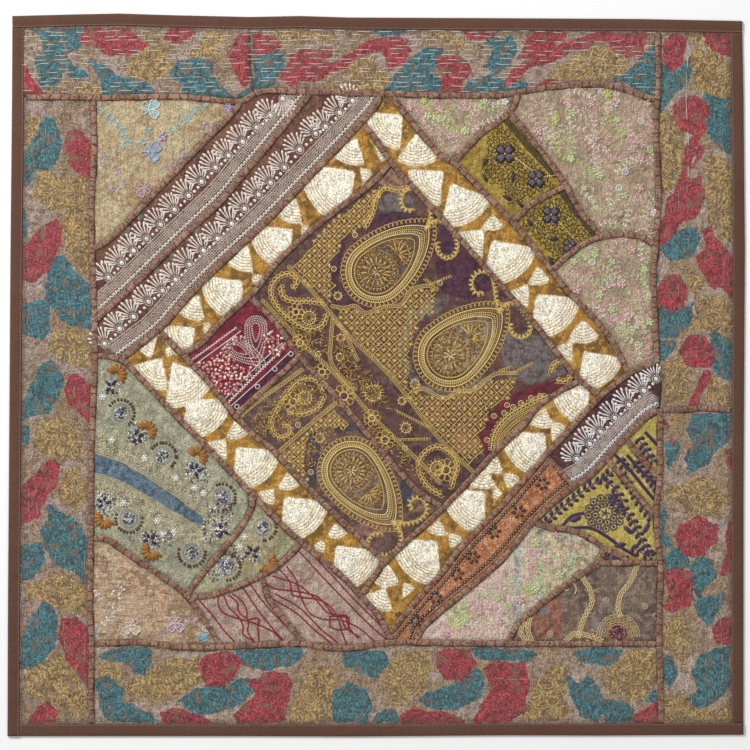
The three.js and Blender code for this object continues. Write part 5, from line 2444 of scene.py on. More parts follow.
@dataclass(frozen=True)
class YellowPanels(Embroidery):
    """The violet chain vines, leaves and flower of the yellow panels."""

    piece: str = "yellow_vines"

    def sew(self, work: Needlework) -> None:
        """Sews the vines, their leaves and the flower.

        Args:
            work: the needlework that it is added to.
        """
        violet, dark = (92, 66, 98), (58, 42, 62)
        chains = (
            ((541, 527), (555, 513), (571, 500), (587, 488), (603, 478), (613, 471)),
            ((611, 494), (617, 505), (626, 512), (634, 524), (640, 538), (648, 550)),
            ((622, 478), (632, 490), (640, 504), (650, 516)), ((634, 462), (645, 474), (655, 486)),
            ((638, 438), (644, 448), (652, 460)), ((620, 458), (626, 470)),
            ((606, 556), (614, 558), (624, 560)),
            ((600, 478), (612, 486), (622, 500)), ((632, 546), (640, 552), (650, 556)),
        )
        for chain in chains:
            path = drawn(*chain)
            work.thread(path, 0.0016, violet)
            points = resample(path, 0.0098)
            for side in (-1, 1):
                turn = headings(points) + side * work.draw.uniform(0.6, 1.1, len(points))
                spots = points + np.column_stack([np.cos(turn), np.sin(turn)]) * 0.0052
                work.set_on(Form.STITCH, spots, turn, (0.0096, 0.0060, 0.0016), violet)
                work.set_on(Form.STITCH, spots, turn, (0.0056, 0.0028, 0.0016), dark, 0.0006)
        for radius, count in ((17, 13), (10, 8)):
            for index in range(count):
                turn = math.tau * index / count + radius
                spot = (605 + radius * math.cos(turn), 513 + radius * math.sin(turn) * 0.92)
                work.ring(spot, 3.3, 0.0018, violet)
                work.set_on(Form.STITCH, place([spot]), -turn, (0.0052, 0.0034, 0.0014), dark)
        work.rays((605, 513), (0, 5), (0, 300), 5, 0.0026, violet)
        for stem in (((548, 527), (570, 528), (590, 528), (606, 536), (622, 548), (636, 556)),
                     ((562, 526), (572, 516), (584, 513)), ((627, 455), (640, 470), (656, 484)),
                     ((645, 432), (657, 445)), ((612, 452), (628, 468), (646, 490), (656, 502))):
            path = drawn(*stem)
            for side in (-0.0015, 0.0, 0.0015):
                work.thread(beside(path, side), 0.0017, violet if side else dark)
        for x, y, turn in ((576, 519, 20), (590, 540, -20), (628, 530, -40), (646, 528, 60),
                           (620, 545, 10)):
            work.set_on(Form.STITCH, place([(x, y)]), math.radians(turn), (0.0190, 0.0078, 0.0016),
                        violet)
            work.set_on(Form.STITCH, place([(x, y)]), math.radians(turn), (0.0120, 0.0020, 0.0018),
                        dark, 0.0006)


@dataclass(frozen=True)
class OrangeStrip(Embroidery):
    """The bead rows, cords and bead flowers of the orange strip."""

    piece: str = "orange_beads"

    def sew(self, work: Needlework) -> None:
        """Sews the rows that lie on the strip, then the bead flowers.

        Args:
            work: the needlework that it is added to.
        """
        edge = inset(section_outline(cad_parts["orange_beads"]), 0.004)
        for seam, side in (("outer_lower_right", 1), ("outer_lower_right", -1), ("orange_pale", 1),
                           ("orange_pale", -1)):
            path = beside(LINES[seam], side * 0.0105)
            path = path[inside(path, edge)]
            if len(path) > 20:
                work.row(path, 0.0048, (0.0048, 0.0048, 0.0034), (44, 30, 30), 0, Form.BEAD)
                for gap in (-0.0040, 0.0040):
                    work.braid(beside(path, gap), 0.0026, (0.0030, 0.0015, 0.0014), (206, 150, 112), 0.5)
                work.row(path, 0.0048, (0.0015, 0.0015, 0.0014), (214, 204, 196), 0, Form.BEAD, 0.1,
                         0.0018)
        for x, y in ((542.6, 483.6), (518.5, 511.5), (494, 532), (473, 557), (457, 574), (435, 597),
                     (416, 621)):
            work.rays((x, y), (2.4, 7.4), (10, 310), 6, 0.0048, (52, 36, 34), Form.BEAD)
            work.rays((x, y), (3.6, 6.2), (10, 310), 6, 0.0019, (224, 208, 200), Form.BEAD)
            work.set_on(Form.BEAD, place([(x, y)]), 0, [0.0034] * 3, (150, 116, 104), 0.0004)
            for dx, dy in ((9, -8), (-8, 7), (14, -12), (2, 11), (-3, -11)):
                work.set_on(Form.BEAD, place([(x + dx, y + dy)]), 0, [0.0026] * 3, (198, 186, 180),
                            0.0004)


@dataclass(frozen=True)
class BrownPanel(Embroidery):
    """The golden braids, the domed jewel, the rings and the spiral of the brown panel."""

    piece: str = "brown_braids"

    def sew(self, work: Needlework) -> None:
        """Sews the braids, the jewel, the rings and the spiral.

        Args:
            work: the needlework that it is added to.
        """
        tan = (222, 196, 142)
        for line in (((583, 578), (590, 590), (592, 602), (584, 618), (578, 637)),
                     ((637, 566), (630, 582), (621, 594), (618, 606), (620, 616)),
                     ((566, 641), (574, 634), (590, 636), (602, 641)),
                     ((524, 622), (521, 632), (526, 641)), ((530, 618), (528, 630), (532, 641))):
            path = drawn(*line)
            for side in (-0.0026, 0.0, 0.0026):
                work.braid(beside(path, side), 0.0030, (0.0046, 0.0020, 0.0020), tan, 0.6)
        for radius in (21.5, 19, 16.5, 14, 11.5):
            work.braid(circle((618, 636), radius, 0, 180), 0.0028, (0.0040, 0.0014, 0.0014), tan, 0.9)
        for radius in (12, 10):
            work.row(circle((618, 632), radius), 0.0026, (0.0026, 0.0018, 0.0018), (178, 140, 84), 0.4)
        # The pinkish third bead colour is a painted highlight on the dark red glass of the jewel.
        work.scatter(circle_pixels((618, 633), 8.5), 2.4, (0.0036, 0.0036, 0.0030),
                     ((92, 16, 28), (70, 14, 22), (172, 96, 104)))
        for spot in ((606, 600), (645, 606), (550, 634), (656, 616)):
            work.ring(spot, 2.8, 0.0013, (206, 184, 150))
        for spot in ((606, 600), (645, 606), (550, 634)):
            work.ring(spot, 1.2, 0.0012, (226, 206, 170))
        turns = np.linspace(0.15, 1, 14)
        spiral = [(568 + 9 * t * math.cos(7 * t), 588 + 9 * t * math.sin(7 * t)) for t in turns]
        work.thread(drawn(*spiral), 0.0020, tan)
        work.scatter(((580, 630), (596, 630), (598, 641), (578, 641)), 2.6, (0.0024, 0.0024, 0.0020),
                     (tan, (150, 116, 70)))


@dataclass(frozen=True)
class RunningStitches:
    """The pale running stitches of the border, in broken rows on the top and down the sides.

    Args:
        piece: the piece's name.
        pitch: the distance between two stitches, in metres.
        length: a stitch's length.
        width: a stitch's width.
    """

    piece: str = "border_running"
    pitch: float = 0.0230
    length: float = 0.0185
    width: float = 0.0008

    def build(self) -> None:
        """Sews them and makes the piece."""
        draw = np.random.default_rng(5)
        lines = [(0.8, ((24, y), (350, y - 1), (660, y + 1))) for y in np.arange(32, 95, 4.6)]
        lines += [(0.5, ((x, 104), (x - 1, 400), (x, 718))) for x in (29, 38, 46, 57, 65, 76, 86)]
        lines += [(0.35, ((x, 34), (x + 1, 300), (x, 404))) for x in (668, 677, 687, 699, 711, 722)]
        lines += [(0.45, ((x, 416), (x - 1, 560), (x, 718))) for x in (672, 682, 692, 706, 722)]
        lines += [(0.12, ((97, y), (360, y + 1), (655, y))) for y in (664, 678, 693, 709)]
        lines += [(1.0, ((687, 46), (687, 110), (688, 172)))]
        vertices, edges, tints = [], [], []
        for share, line in lines:
            path = drawn(*line, step=0.006)
            path[:, 0] += 0.0012 * np.sin(path[:, 1] * 45 + draw.uniform(0, 6))
            path[:, 1] += 0.0012 * np.sin(path[:, 0] * 45 + draw.uniform(0, 6))
            shade = 0.72 + 0.28 * (share > 0.6)
            breaks = np.sort(draw.choice(np.arange(1, len(path)), max(2, len(path) // 8), replace=False))
            for run in np.split(path, breaks):
                if draw.uniform() < share and len(run) > 2:
                    first = len(vertices)
                    vertices += [(*p, z + 0.0001) for p, z in zip(run, RELIEF.top(run))]
                    tints += [linear([c * shade for c in (230, 226, 214)])] * len(run)
                    edges += [(first + i, first + i + 1) for i in range(len(run) - 1)]
        made = mesh_object(self.piece, vertices, (), None, edges)
        put(made.data, "tint", np.array(tints))
        grown(made, row_tree(), {
            "Pitch": self.pitch, "Length": self.length, "Width": self.width, "Uneven": 0.05, "Seed": 4,
            "Finish": Needlework.finish(THREAD),
        })
        tell(made, THREAD.name)


# Prints


def oval(left: float, right: float, upper: float, lower: float, turn: float = 0.0) -> Blot:
    """An ellipse by the pixels of its box, then turned about its middle by some degrees."""
    middle = ((left + right) / 2, (upper + lower) / 2)
    return Blot((middle,), ((right - left) / 2, (lower - upper) / 2), turn)


def band(half: float, *pixels: tuple[float, float]) -> Blot:
    """A thick line through pixels."""
    return Blot(pixels, (half,))


def area(*corners: tuple[float, float]) -> Blot:
    """A shape by its corners in pixels."""
    return Blot(corners, ())


def below(name: str, half: float, shift: float) -> Blot:
    """A band along a seam, moved some pixels towards the upper left."""
    seam = next(seam for seam in SEAMS if seam.name == name)
    return Blot(tuple((x - shift, y - shift) for x, y in seam.pixels), (half,))


def teal(*blots: Blot) -> Layer:
    """The print's blue-green."""
    return Layer((58, 112, 122), blots, 0.006, 0.92, 0.8, (58, 72, 66))


def crimson(*blots: Blot) -> Layer:
    """The print's red."""
    return Layer((162, 54, 66), blots, 0.006, 0.92, 0.8, (100, 50, 46))


def ochre(*blots: Blot) -> Layer:
    """The print's ochre."""
    return Layer((168, 140, 88), blots, 0.010, 0.85, 0.8, (102, 76, 44))


PRINT_TOP = (
    ochre(
        area((126, 58), (156, 42), (166, 46), (172, 70), (160, 80), (130, 76)),
        area((76, 92), (84, 84), (98, 80), (104, 98), (78, 98)),
        area((190, 56), (204, 34), (222, 28), (226, 36), (218, 56), (206, 64)),
        area((266, 30), (312, 30), (344, 38), (312, 44), (280, 38)),
        area((318, 94), (330, 84), (372, 76), (374, 60), (392, 82), (380, 94)),
        area((340, 62), (372, 56), (376, 76), (344, 80)),
        area((420, 28), (448, 30), (470, 46), (474, 56), (458, 48), (440, 42)),
        area((548, 74), (560, 64), (600, 44), (634, 62), (620, 78), (560, 82)),
    ),
    teal(
        area((24, 30), (90, 28), (84, 44), (68, 56), (72, 66), (92, 76), (76, 80), (64, 72), (56, 86),
             (40, 86), (34, 62), (44, 48), (38, 36)),
        area((84, 58), (94, 60), (120, 76), (150, 84), (158, 98), (104, 98), (100, 82)),
        area((170, 76), (178, 60), (196, 58), (214, 62), (216, 82), (240, 100), (180, 98), (184, 86)),
        area((232, 100), (238, 92), (250, 88), (254, 93), (244, 100)),
        area((282, 52), (284, 68), (276, 84), (262, 91), (253, 86), (253, 56), (264, 50)),
        area((372, 29), (388, 28), (414, 30), (400, 35), (384, 39)),
        area((380, 96), (410, 58), (428, 46), (446, 48), (438, 60), (436, 72), (444, 82), (436, 96)),
        area((512, 34), (518, 48), (512, 64), (498, 74), (482, 66), (492, 54), (486, 42), (492, 33),
             (502, 40)),
        area((462, 96), (468, 80), (490, 76), (532, 85), (512, 94), (480, 98)),
        area((656, 42), (626, 72), (610, 80), (630, 87), (650, 99), (657, 96)),
    ),
    crimson(
        area((148, 46), (132, 57), (112, 56), (78, 42), (82, 29), (128, 28)),
        area((162, 30), (192, 28), (198, 32), (182, 43), (162, 42)),
        area((242, 32), (250, 33), (251, 74), (244, 92), (226, 54)),
        area((22, 60), (30, 70), (36, 84), (46, 98), (22, 98)),
        area((252, 32), (266, 34), (284, 40), (280, 50), (256, 55)),
        area((276, 78), (290, 64), (290, 56), (304, 49), (334, 47), (330, 56), (316, 63), (342, 62),
             (336, 72), (318, 80), (290, 86)),
        band(5.5, (338, 66), (362, 52), (388, 42)),
        area((404, 37), (411, 50), (404, 64), (388, 70), (378, 42), (392, 35)),
        area((460, 29), (500, 30), (490, 38), (470, 39)),
        area((434, 56), (446, 58), (456, 53), (468, 60), (472, 70), (464, 80), (460, 94), (440, 92),
             (442, 78)),
        area((518, 58), (526, 42), (536, 31), (560, 29), (568, 35), (556, 44), (560, 58), (540, 67)),
        band(6, (554, 52), (580, 44), (606, 36)), band(5, (508, 82), (520, 70), (534, 62)),
        area((608, 36), (636, 31), (646, 34), (642, 56), (624, 59), (612, 48)),
        area((530, 88), (545, 80), (562, 80), (550, 89)),
    ),
)
PRINT_RIGHT = (
    ochre(
        area((694, 46), (728, 60), (733, 102), (704, 98), (694, 84), (688, 66)),
        area((686, 30), (700, 30), (714, 46), (690, 44)),
        area((672, 106), (684, 132), (682, 160), (676, 186), (664, 198), (658, 190), (660, 116)),
        area((718, 156), (733, 168), (733, 242), (716, 236), (706, 214), (708, 190), (704, 160)),
        area((682, 262), (692, 270), (704, 284), (702, 302), (690, 286)),
        area((694, 296), (716, 292), (733, 304), (733, 334), (694, 330)),
        area((660, 364), (680, 350), (692, 372), (686, 402), (664, 404)),
        area((708, 376), (733, 384), (733, 406), (704, 404)),
    ),
    teal(
        area((690, 58), (692, 80), (678, 90), (660, 116), (656, 86), (662, 62), (676, 70)),
        area((704, 90), (716, 98), (733, 96), (733, 162), (708, 136), (700, 118)),
        area((660, 248), (672, 232), (694, 226), (701, 240), (692, 258), (670, 262)),
        area((694, 299), (692, 320), (678, 337), (655, 338), (655, 306), (672, 310), (684, 308)),
        area((657, 338), (678, 342), (668, 358), (656, 366)),
        area((710, 328), (722, 336), (733, 340), (733, 386), (716, 374), (708, 350)),
        area((654, 246), (660, 250), (658, 284), (654, 284)),
    ),
    crimson(
        area((664, 38), (674, 33), (686, 42), (682, 66), (672, 74), (663, 62)),
        area((696, 30), (733, 30), (733, 58), (722, 55), (710, 46)),
        area((682, 97), (700, 97), (709, 110), (704, 126), (692, 135), (680, 129), (672, 116),
             (671, 106)),
        band(4.5, (702, 128), (692, 146), (686, 164), (682, 184)), band(3, (702, 148), (694, 166)),
        area((702, 174), (705, 198), (697, 219), (684, 221), (676, 234), (660, 247), (655, 232),
             (664, 214), (666, 198), (682, 182)),
        area((711, 225), (718, 240), (733, 258), (733, 302), (720, 286), (714, 292), (702, 274),
             (696, 258), (704, 244), (702, 230)),
        area((680, 275), (687, 288), (684, 308), (664, 309), (656, 303), (656, 290), (666, 276)),
        area((685, 338), (702, 333), (713, 344), (710, 366), (696, 370), (682, 362), (677, 352)),
        band(5, (706, 374), (698, 392), (692, 408)),
    ),
)
PRINT_LOWER_RIGHT = (
    ochre(
        area((668, 412), (688, 414), (686, 428), (670, 422)),
        area((664, 488), (700, 474), (731, 500), (720, 520), (690, 512), (664, 500)),
        area((664, 624), (684, 614), (692, 640), (684, 672), (676, 652), (662, 650)),
        area((662, 698), (690, 690), (700, 708), (731, 704), (731, 722), (662, 722)),
    ),
    teal(
        area((731, 412), (731, 436), (706, 466), (688, 474), (684, 456), (692, 444), (685, 430),
             (692, 418), (706, 412)),
        area((660, 498), (668, 510), (664, 530), (672, 546), (661, 548)),
        area((663, 558), (672, 546), (684, 548), (689, 562), (680, 575), (667, 575)),
        area((702, 554), (714, 560), (717, 576), (704, 588), (698, 602), (692, 588), (690, 568)),
        area((693, 602), (710, 596), (727, 590), (719, 612), (708, 632), (700, 618)),
        area((662, 656), (672, 655), (677, 672), (668, 692), (663, 676)),
        area((731, 645), (731, 686), (716, 703), (700, 709), (684, 699), (696, 690), (691, 672),
             (699, 656), (716, 647)),
        area((664, 442), (676, 438), (680, 456), (668, 468)),
    ),
    crimson(
        area((721, 527), (716, 541), (704, 557), (684, 555), (676, 546), (674, 536), (682, 524),
             (704, 517)),
        area((728, 522), (732, 520), (732, 574), (719, 577), (725, 556)),
        area((676, 565), (690, 573), (695, 588), (690, 607), (672, 613), (663, 608), (669, 592),
             (663, 573)),
        area((709, 628), (720, 618), (732, 617), (732, 645), (716, 647)),
        area((725, 450), (732, 449), (732, 468), (728, 464)),
        band(2.2, (664, 420), (671, 432), (672, 444)),
    ),
)
PRINT_LEFT = (
    ochre(
        area((22, 120), (36, 116), (42, 130), (30, 158), (22, 160)),
        area((36, 168), (44, 164), (56, 178), (88, 176), (84, 208), (46, 213), (34, 200)),
        area((62, 218), (90, 208), (90, 278), (72, 262), (62, 246)),
        area((54, 330), (70, 326), (92, 334), (92, 370), (56, 362), (46, 350)),
        area((34, 424), (60, 414), (80, 428), (88, 456), (56, 460), (36, 452)),
        area((60, 466), (80, 468), (90, 500), (74, 511), (62, 498)),
        area((24, 586), (60, 572), (92, 586), (92, 618), (40, 600), (26, 598)),
        area((22, 664), (60, 650), (90, 696), (88, 723), (58, 706), (24, 692)),
    ),
    teal(
        area((51, 115), (57, 122), (61, 142), (60, 160), (50, 171), (40, 170), (30, 184), (22, 188),
             (21, 160), (43, 122)),
        area((21, 208), (28, 211), (27, 238), (21, 242)),
        area((58, 255), (68, 260), (79, 276), (91, 286), (93, 332), (62, 322), (45, 296), (48, 264)),
        area((21, 304), (40, 299), (51, 306), (50, 332), (42, 339), (23, 335)),
        area((53, 358), (65, 382), (59, 397), (50, 412), (21, 420), (21, 400), (42, 366)),
        area((21, 424), (30, 428), (27, 446), (21, 442)),
        area((43, 499), (79, 523), (87, 538), (87, 586), (74, 573), (58, 567), (47, 549), (39, 530),
             (49, 518)),
        area((21, 546), (40, 539), (45, 560), (36, 577), (21, 582)),
        area((43, 600), (51, 606), (58, 620), (57, 642), (46, 662), (21, 670), (20, 640), (30, 618)),
    ),
    crimson(
        area((67, 132), (77, 129), (91, 140), (93, 188), (70, 164), (65, 148)),
        area((57, 219), (63, 228), (61, 243), (47, 273), (32, 283), (21, 280), (21, 248), (46, 225)),
        area((76, 371), (91, 386), (91, 426), (70, 405), (65, 390), (67, 376)),
        area((50, 457), (61, 464), (57, 484), (46, 500), (41, 517), (21, 524), (21, 486)),
        area((61, 618), (74, 616), (93, 630), (93, 694), (68, 661), (59, 640)),
        area((27, 721), (36, 708), (48, 701), (57, 710), (57, 723), (30, 724)),
    ),
)
PRINT_BOTTOM = (
    ochre(
        area((200, 658), (202, 680), (176, 698), (156, 703), (130, 700), (126, 684), (176, 656)),
        area((95, 664), (120, 663), (124, 676), (104, 680)),
        area((290, 706), (308, 672), (332, 662), (340, 690), (332, 723), (288, 723)),
        area((430, 650), (434, 670), (420, 694), (400, 706), (386, 700), (384, 672), (400, 650)),
        area((568, 664), (566, 690), (572, 712), (556, 723), (524, 723), (522, 716), (532, 688),
             (548, 668)),
        area((610, 668), (630, 650), (657, 650), (658, 686), (636, 700), (610, 690)),
    ),
    teal(
        area((97, 657), (112, 649), (130, 646), (151, 648), (153, 663), (142, 677), (124, 663)),
        area((95, 680), (108, 677), (125, 690), (122, 702), (151, 712), (157, 723), (108, 721),
             (99, 704)),
        area((177, 701), (196, 689), (226, 679), (250, 677), (256, 690), (244, 703), (224, 713),
             (196, 717)),
        area((235, 650), (300, 646), (307, 656), (286, 667), (262, 671), (240, 663)),
        area((340, 652), (380, 649), (391, 663), (376, 679), (362, 673), (346, 666)),
        area((331, 691), (350, 683), (367, 690), (373, 709), (366, 723), (334, 723)),
        area((371, 717), (384, 707), (397, 712), (397, 723), (373, 723)),
        area((417, 701), (430, 691), (452, 684), (478, 667), (487, 680), (480, 699), (458, 709),
             (430, 709)),
        area((470, 648), (500, 647), (540, 652), (530, 661), (502, 661), (474, 657)),
        area((573, 652), (596, 645), (623, 650), (619, 661), (608, 667), (580, 661)),
        area((567, 676), (578, 684), (588, 673), (601, 690), (605, 706), (597, 723), (582, 717),
             (571, 700)),
        area((600, 700), (622, 701), (635, 708), (631, 723), (605, 723)),
        area((645, 701), (657, 682), (657, 706)),
    ),
    crimson(
        area((197, 665), (206, 653), (228, 651), (241, 660), (237, 677), (224, 687), (208, 685)),
        area((286, 671), (293, 682), (285, 723), (238, 723), (231, 714), (256, 694), (248, 681),
             (262, 673)),
        area((160, 713), (178, 707), (210, 719), (214, 724), (164, 724)),
        area((435, 652), (452, 648), (471, 650), (475, 665), (464, 679), (446, 681), (437, 668)),
        area((524, 663), (531, 684), (524, 713), (508, 723), (472, 723), (489, 690), (483, 668),
             (496, 661)),
        area((400, 717), (414, 709), (440, 711), (466, 720), (466, 724), (402, 724)),
        area((632, 717), (650, 703), (661, 699), (661, 723), (634, 723)),
    ),
)
PRINT_BACK = {"base": (148, 124, 98), "second": (168, 150, 142), "third": (116, 92, 66), "scroll": 0.9}
# The top and left border panels take a darker ground: painted shade that evens out the key light falling
# from the upper left.
PRINT_SHADED = {"base": (134, 110, 84), "second": (158, 140, 132), "third": (98, 76, 54), "scroll": 0.9}
PRINTS = {
    "border_top_left": PRINT_TOP, "border_top_right": PRINT_TOP, "border_right_upper": PRINT_RIGHT,
    "border_right_lower": PRINT_LOWER_RIGHT, "border_left": PRINT_LEFT, "border_bottom": PRINT_BOTTOM,
}


def printed(node: str) -> ClothFinish:
    """The finish of a border panel."""
    back = PRINT_SHADED if node in ("border_top_left", "border_top_right", "border_left") else PRINT_BACK
    return ClothFinish(f"print_{node}", layers=PRINTS[node], blotch=18.0, **back)


CREAM = ClothFinish("cream_silk", (178, 160, 124), (156, 132, 96), (188, 174, 142), sheen=0.5,
                    slub=(420.0, 14.0, 1.0))
LACE = ClothFinish("lace_ground", (108, 70, 54), (88, 54, 44), (126, 92, 74), (
    Layer((122, 122, 108), tuple(oval(x - 5, x + 5, y - 5, y + 5) for x, y in (
        (140, 215), (125, 230), (185, 220), (170, 255), (155, 268), (128, 304), (113, 318), (196, 228),
    )), 0.003, 0.8),
    Layer((154, 132, 116), (below("lace_second", 7.5, 8.5), below("outer_upper_left", 7.5, 8.5)), 0.001,
          0.8),
), roughness=0.9)
LACE_DARK = ClothFinish("lace_ground_dark", (84, 46, 46), (66, 36, 40), (110, 78, 66), (
    Layer((176, 160, 152), (below("orange_pale", 7.5, 8.5),), 0.001, 0.8),
), roughness=0.9)
SAGE = ClothFinish("sage_cotton", (158, 158, 134), (138, 136, 114), (168, 164, 134), (
    Layer((172, 162, 130), (band(30, (90, 460), (130, 474), (176, 504), (200, 520)),), 0.004, 0.7),
    Layer((96, 116, 130), (
        band(9, (84, 460), (120, 471)), band(8.2, (118, 470), (150, 488)),
        band(6.8, (148, 487), (178, 506)),
        band(5.4, (176, 505), (198, 520)),
    ), 0.001, 1.0),
))
SAGE_CORNER = ClothFinish("sage_corner", (164, 158, 128), (142, 130, 100), (178, 168, 128))
BEIGE = ClothFinish("beige_silk", (176, 148, 118), (148, 120, 92), (194, 172, 146), sheen=0.5,
                    folds=(14.0, 60.0, 1.0))
TAUPE = ClothFinish("taupe_silk", (172, 148, 132), (150, 124, 110), (184, 164, 150))
PALE = ClothFinish("pale_silk", (168, 144, 120), (148, 128, 106), (178, 166, 134), (
    Layer((190, 160, 132), (oval(640, 657, 140, 190, 10), oval(600, 640, 212, 222)), 0.01, 0.6),
), sheen=0.5)
MINT = ClothFinish("mint_silk", (198, 172, 158), (190, 160, 148), (206, 186, 168), (
    Layer((196, 186, 146), (area((534, 528), (570, 530), (602, 552), (588, 568), (536, 606)),), 0.003,
          0.8),
    Layer((160, 182, 170), (band(3.5, (517, 540), (517, 640)), band(2.5, (541, 526), (541, 600)),
                            band(2.0, (571, 526), (571, 590))), 0.002, 0.7),
    Layer((204, 196, 160), (band(3.5, (526, 530), (526, 640)), band(3, (506, 550), (506, 640))), 0.002,
          0.6),
    Layer((190, 192, 120), (oval(446, 474, 604, 630),), 0.006, 0.6),
), sheen=0.5)
MUSTARD = ClothFinish("mustard_cotton", (160, 134, 56), (144, 116, 46), (172, 148, 70))
ORANGE = ClothFinish("orange_silk", (186, 120, 78), (160, 94, 56), (204, 154, 112), sheen=0.5)
YELLOW = ClothFinish("yellow_silk", (184, 164, 84), (166, 146, 70), (196, 180, 104))
BROWN = ClothFinish("brown_velvet", (118, 98, 82), (92, 72, 62), (146, 126, 110), (
    Layer((156, 100, 78), (area((532, 618), (546, 596), (562, 596), (562, 638), (530, 638)),), 0.004,
          0.85),
    Layer((124, 120, 124), (oval(538, 548, 606, 616), oval(592, 606, 618, 634)), 0.004, 0.8),
), sheen=0.6)
MAROON = ClothFinish("maroon_silk", (118, 22, 44), (96, 18, 38), (140, 52, 62), (
    Layer((70, 34, 56), (band(2.6, (232, 410), (262, 382), (293, 355)),
                         band(2.2, (224, 402), (282, 346))), 0.001),
), sheen=0.4)
AUBERGINE = ClothFinish("aubergine_silk", (92, 62, 56), (70, 46, 48), (112, 82, 68), (
    Layer((154, 114, 94), (oval(380, 406, 160, 196, 60),), 0.006, 0.9),
    Layer((116, 104, 100), (
        oval(376, 414, 194, 216),
        area((500, 334), (540, 336), (560, 356), (566, 372), (530, 384), (506, 376)),
        band(4, (412, 312), (404, 336), (404, 362), (416, 382)),
        band(4, (420, 388), (450, 394), (486, 380)),
        area((424, 300), (452, 298), (440, 312), (420, 320)),
    ), 0.005, 0.95),
    Layer((82, 44, 62), (
        area((366, 214), (412, 212), (430, 222), (396, 230), (368, 238)),
        area((432, 250), (446, 214), (478, 248), (500, 286), (470, 300), (440, 292)),
        band(5, (342, 238), (336, 262), (334, 292), (348, 306), (384, 304)),
    ), 0.005, 0.95),
    Layer((112, 92, 78), (Blot(((392, 259),), (36, 22), 38.0),), 0.002, 0.9),
    Layer((150, 130, 106), (Blot(((464, 344),), (36, 23), 40.0),), 0.002, 0.9),
    Layer((112, 28, 46), (band(5, (562, 384), (530, 392), (504, 406), (490, 424), (484, 440),
                               (490, 452)),), 0.002),
    Layer((150, 96, 84), (oval(450, 480, 424, 456), oval(420, 446, 400, 424)), 0.006, 0.5),
), sheen=0.4, crumple=0.0012)
WORN = ClothFinish("worn_silk", (106, 80, 70), (84, 60, 56), (130, 104, 84), (
    Layer((70, 66, 76), (band(4.5, (312, 436), (316, 456), (312, 482)),
                         band(4, (338, 430), (352, 426), (366, 432)),
                         oval(400, 412, 478, 506)), 0.003, 0.95),
    Layer((150, 104, 96), (oval(350, 388, 522, 536),), 0.004, 0.8),
    Layer((132, 112, 98), (Blot(((362, 486),), (36, 21), -52.0),), 0.002, 0.8),
), sheen=0.3, crumple=0.0012)
GOLD_GROUND = ClothFinish("ochre_silk", (170, 122, 42), (118, 84, 34), (192, 148, 70), (
    Layer((255, 250, 232), SCALLOPS, 0.0015, 1.0, 0.0, (0, 0, 0), (176, 140, 66)),
), blotch=34.0, sheen=0.4)


@dataclass(frozen=True)
class Patch:
    """One patch of the cloth.

    Args:
        node: its solid.
        slot: the name of its kind of material, which is passed to tell.
        finish: how it looks.
        step: the distance between its mesh's points, in metres.
    """

    node: str
    slot: str
    finish: ClothFinish
    step: float = 0.0063

    def build(self) -> bpy.types.Object:
        """Makes the patch as a thin sheet on its solid's outline.

        Returns:
            The sheet.
        """
        outline = section_outline(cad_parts[self.node])
        made = sheet_mesh(f"sheet_{self.node}", outline, self.step)
        count = len(made.data.vertices)
        places = np.empty(count * 3, np.float32)
        made.data.vertices.foreach_get("co", places)
        places = places.reshape(-1, 3)[:, :2].astype(float)
        for index, layer in enumerate(self.finish.layers):
            put(made.data, f"print_{index}", layer.distance(places))
            if layer.speckle:
                put(made.data, f"arcs_{index}", layer.arcs(places))
        made.data.materials.append(self.finish.material())
        tell(made, self.slot, [self.node])
        cut_size(outline)
        return made


PATCHES = (
    *(Patch(node, "border_print", printed(node), 0.0052) for node in PRINTS),
    Patch("cream_butterflies", "cream_silk", CREAM),
    Patch("lace_band_first", "lace_ground", LACE),
    Patch("lace_band_second", "lace_ground", LACE),
    Patch("lace_band_third", "lace_ground_dark", LACE_DARK),
    Patch("scallop_upper_left", "ochre_silk", GOLD_GROUND),
    Patch("scallop_upper_right", "ochre_silk", GOLD_GROUND),
    Patch("scallop_lower_right", "ochre_silk", GOLD_GROUND),
    Patch("scallop_lower_left", "ochre_silk", GOLD_GROUND),
    Patch("centre_paisley_large", "aubergine_silk", AUBERGINE),
    Patch("centre_maroon", "maroon_silk", MAROON),
    Patch("centre_paisley_small", "worn_silk", WORN),
    Patch("sage_discs", "sage_cotton", SAGE),
    Patch("sage_corner", "sage_cotton", SAGE_CORNER),
    Patch("beige_butterflies", "beige_silk", BEIGE),
    Patch("taupe_left", "taupe_silk", TAUPE),
    Patch("taupe_right", "taupe_silk", TAUPE),
    Patch("pale_triangle", "pale_silk", PALE),
    Patch("pale_upper", "pale_silk", PALE),
    Patch("pale_lower", "pale_silk", PALE),
    Patch("mustard_upper", "mustard_cotton", MUSTARD),
    Patch("mustard_lower", "mustard_cotton", MUSTARD),
    Patch("orange_beads", "orange_silk", ORANGE),
    Patch("yellow_upper", "yellow_silk", YELLOW),
    Patch("yellow_middle", "yellow_silk", YELLOW),
    Patch("yellow_flowers", "yellow_silk", YELLOW),
    Patch("yellow_sliver", "yellow_silk", YELLOW),
    Patch("pale_mint", "mint_silk", MINT),
    Patch("brown_braid", "brown_velvet", BROWN),
)


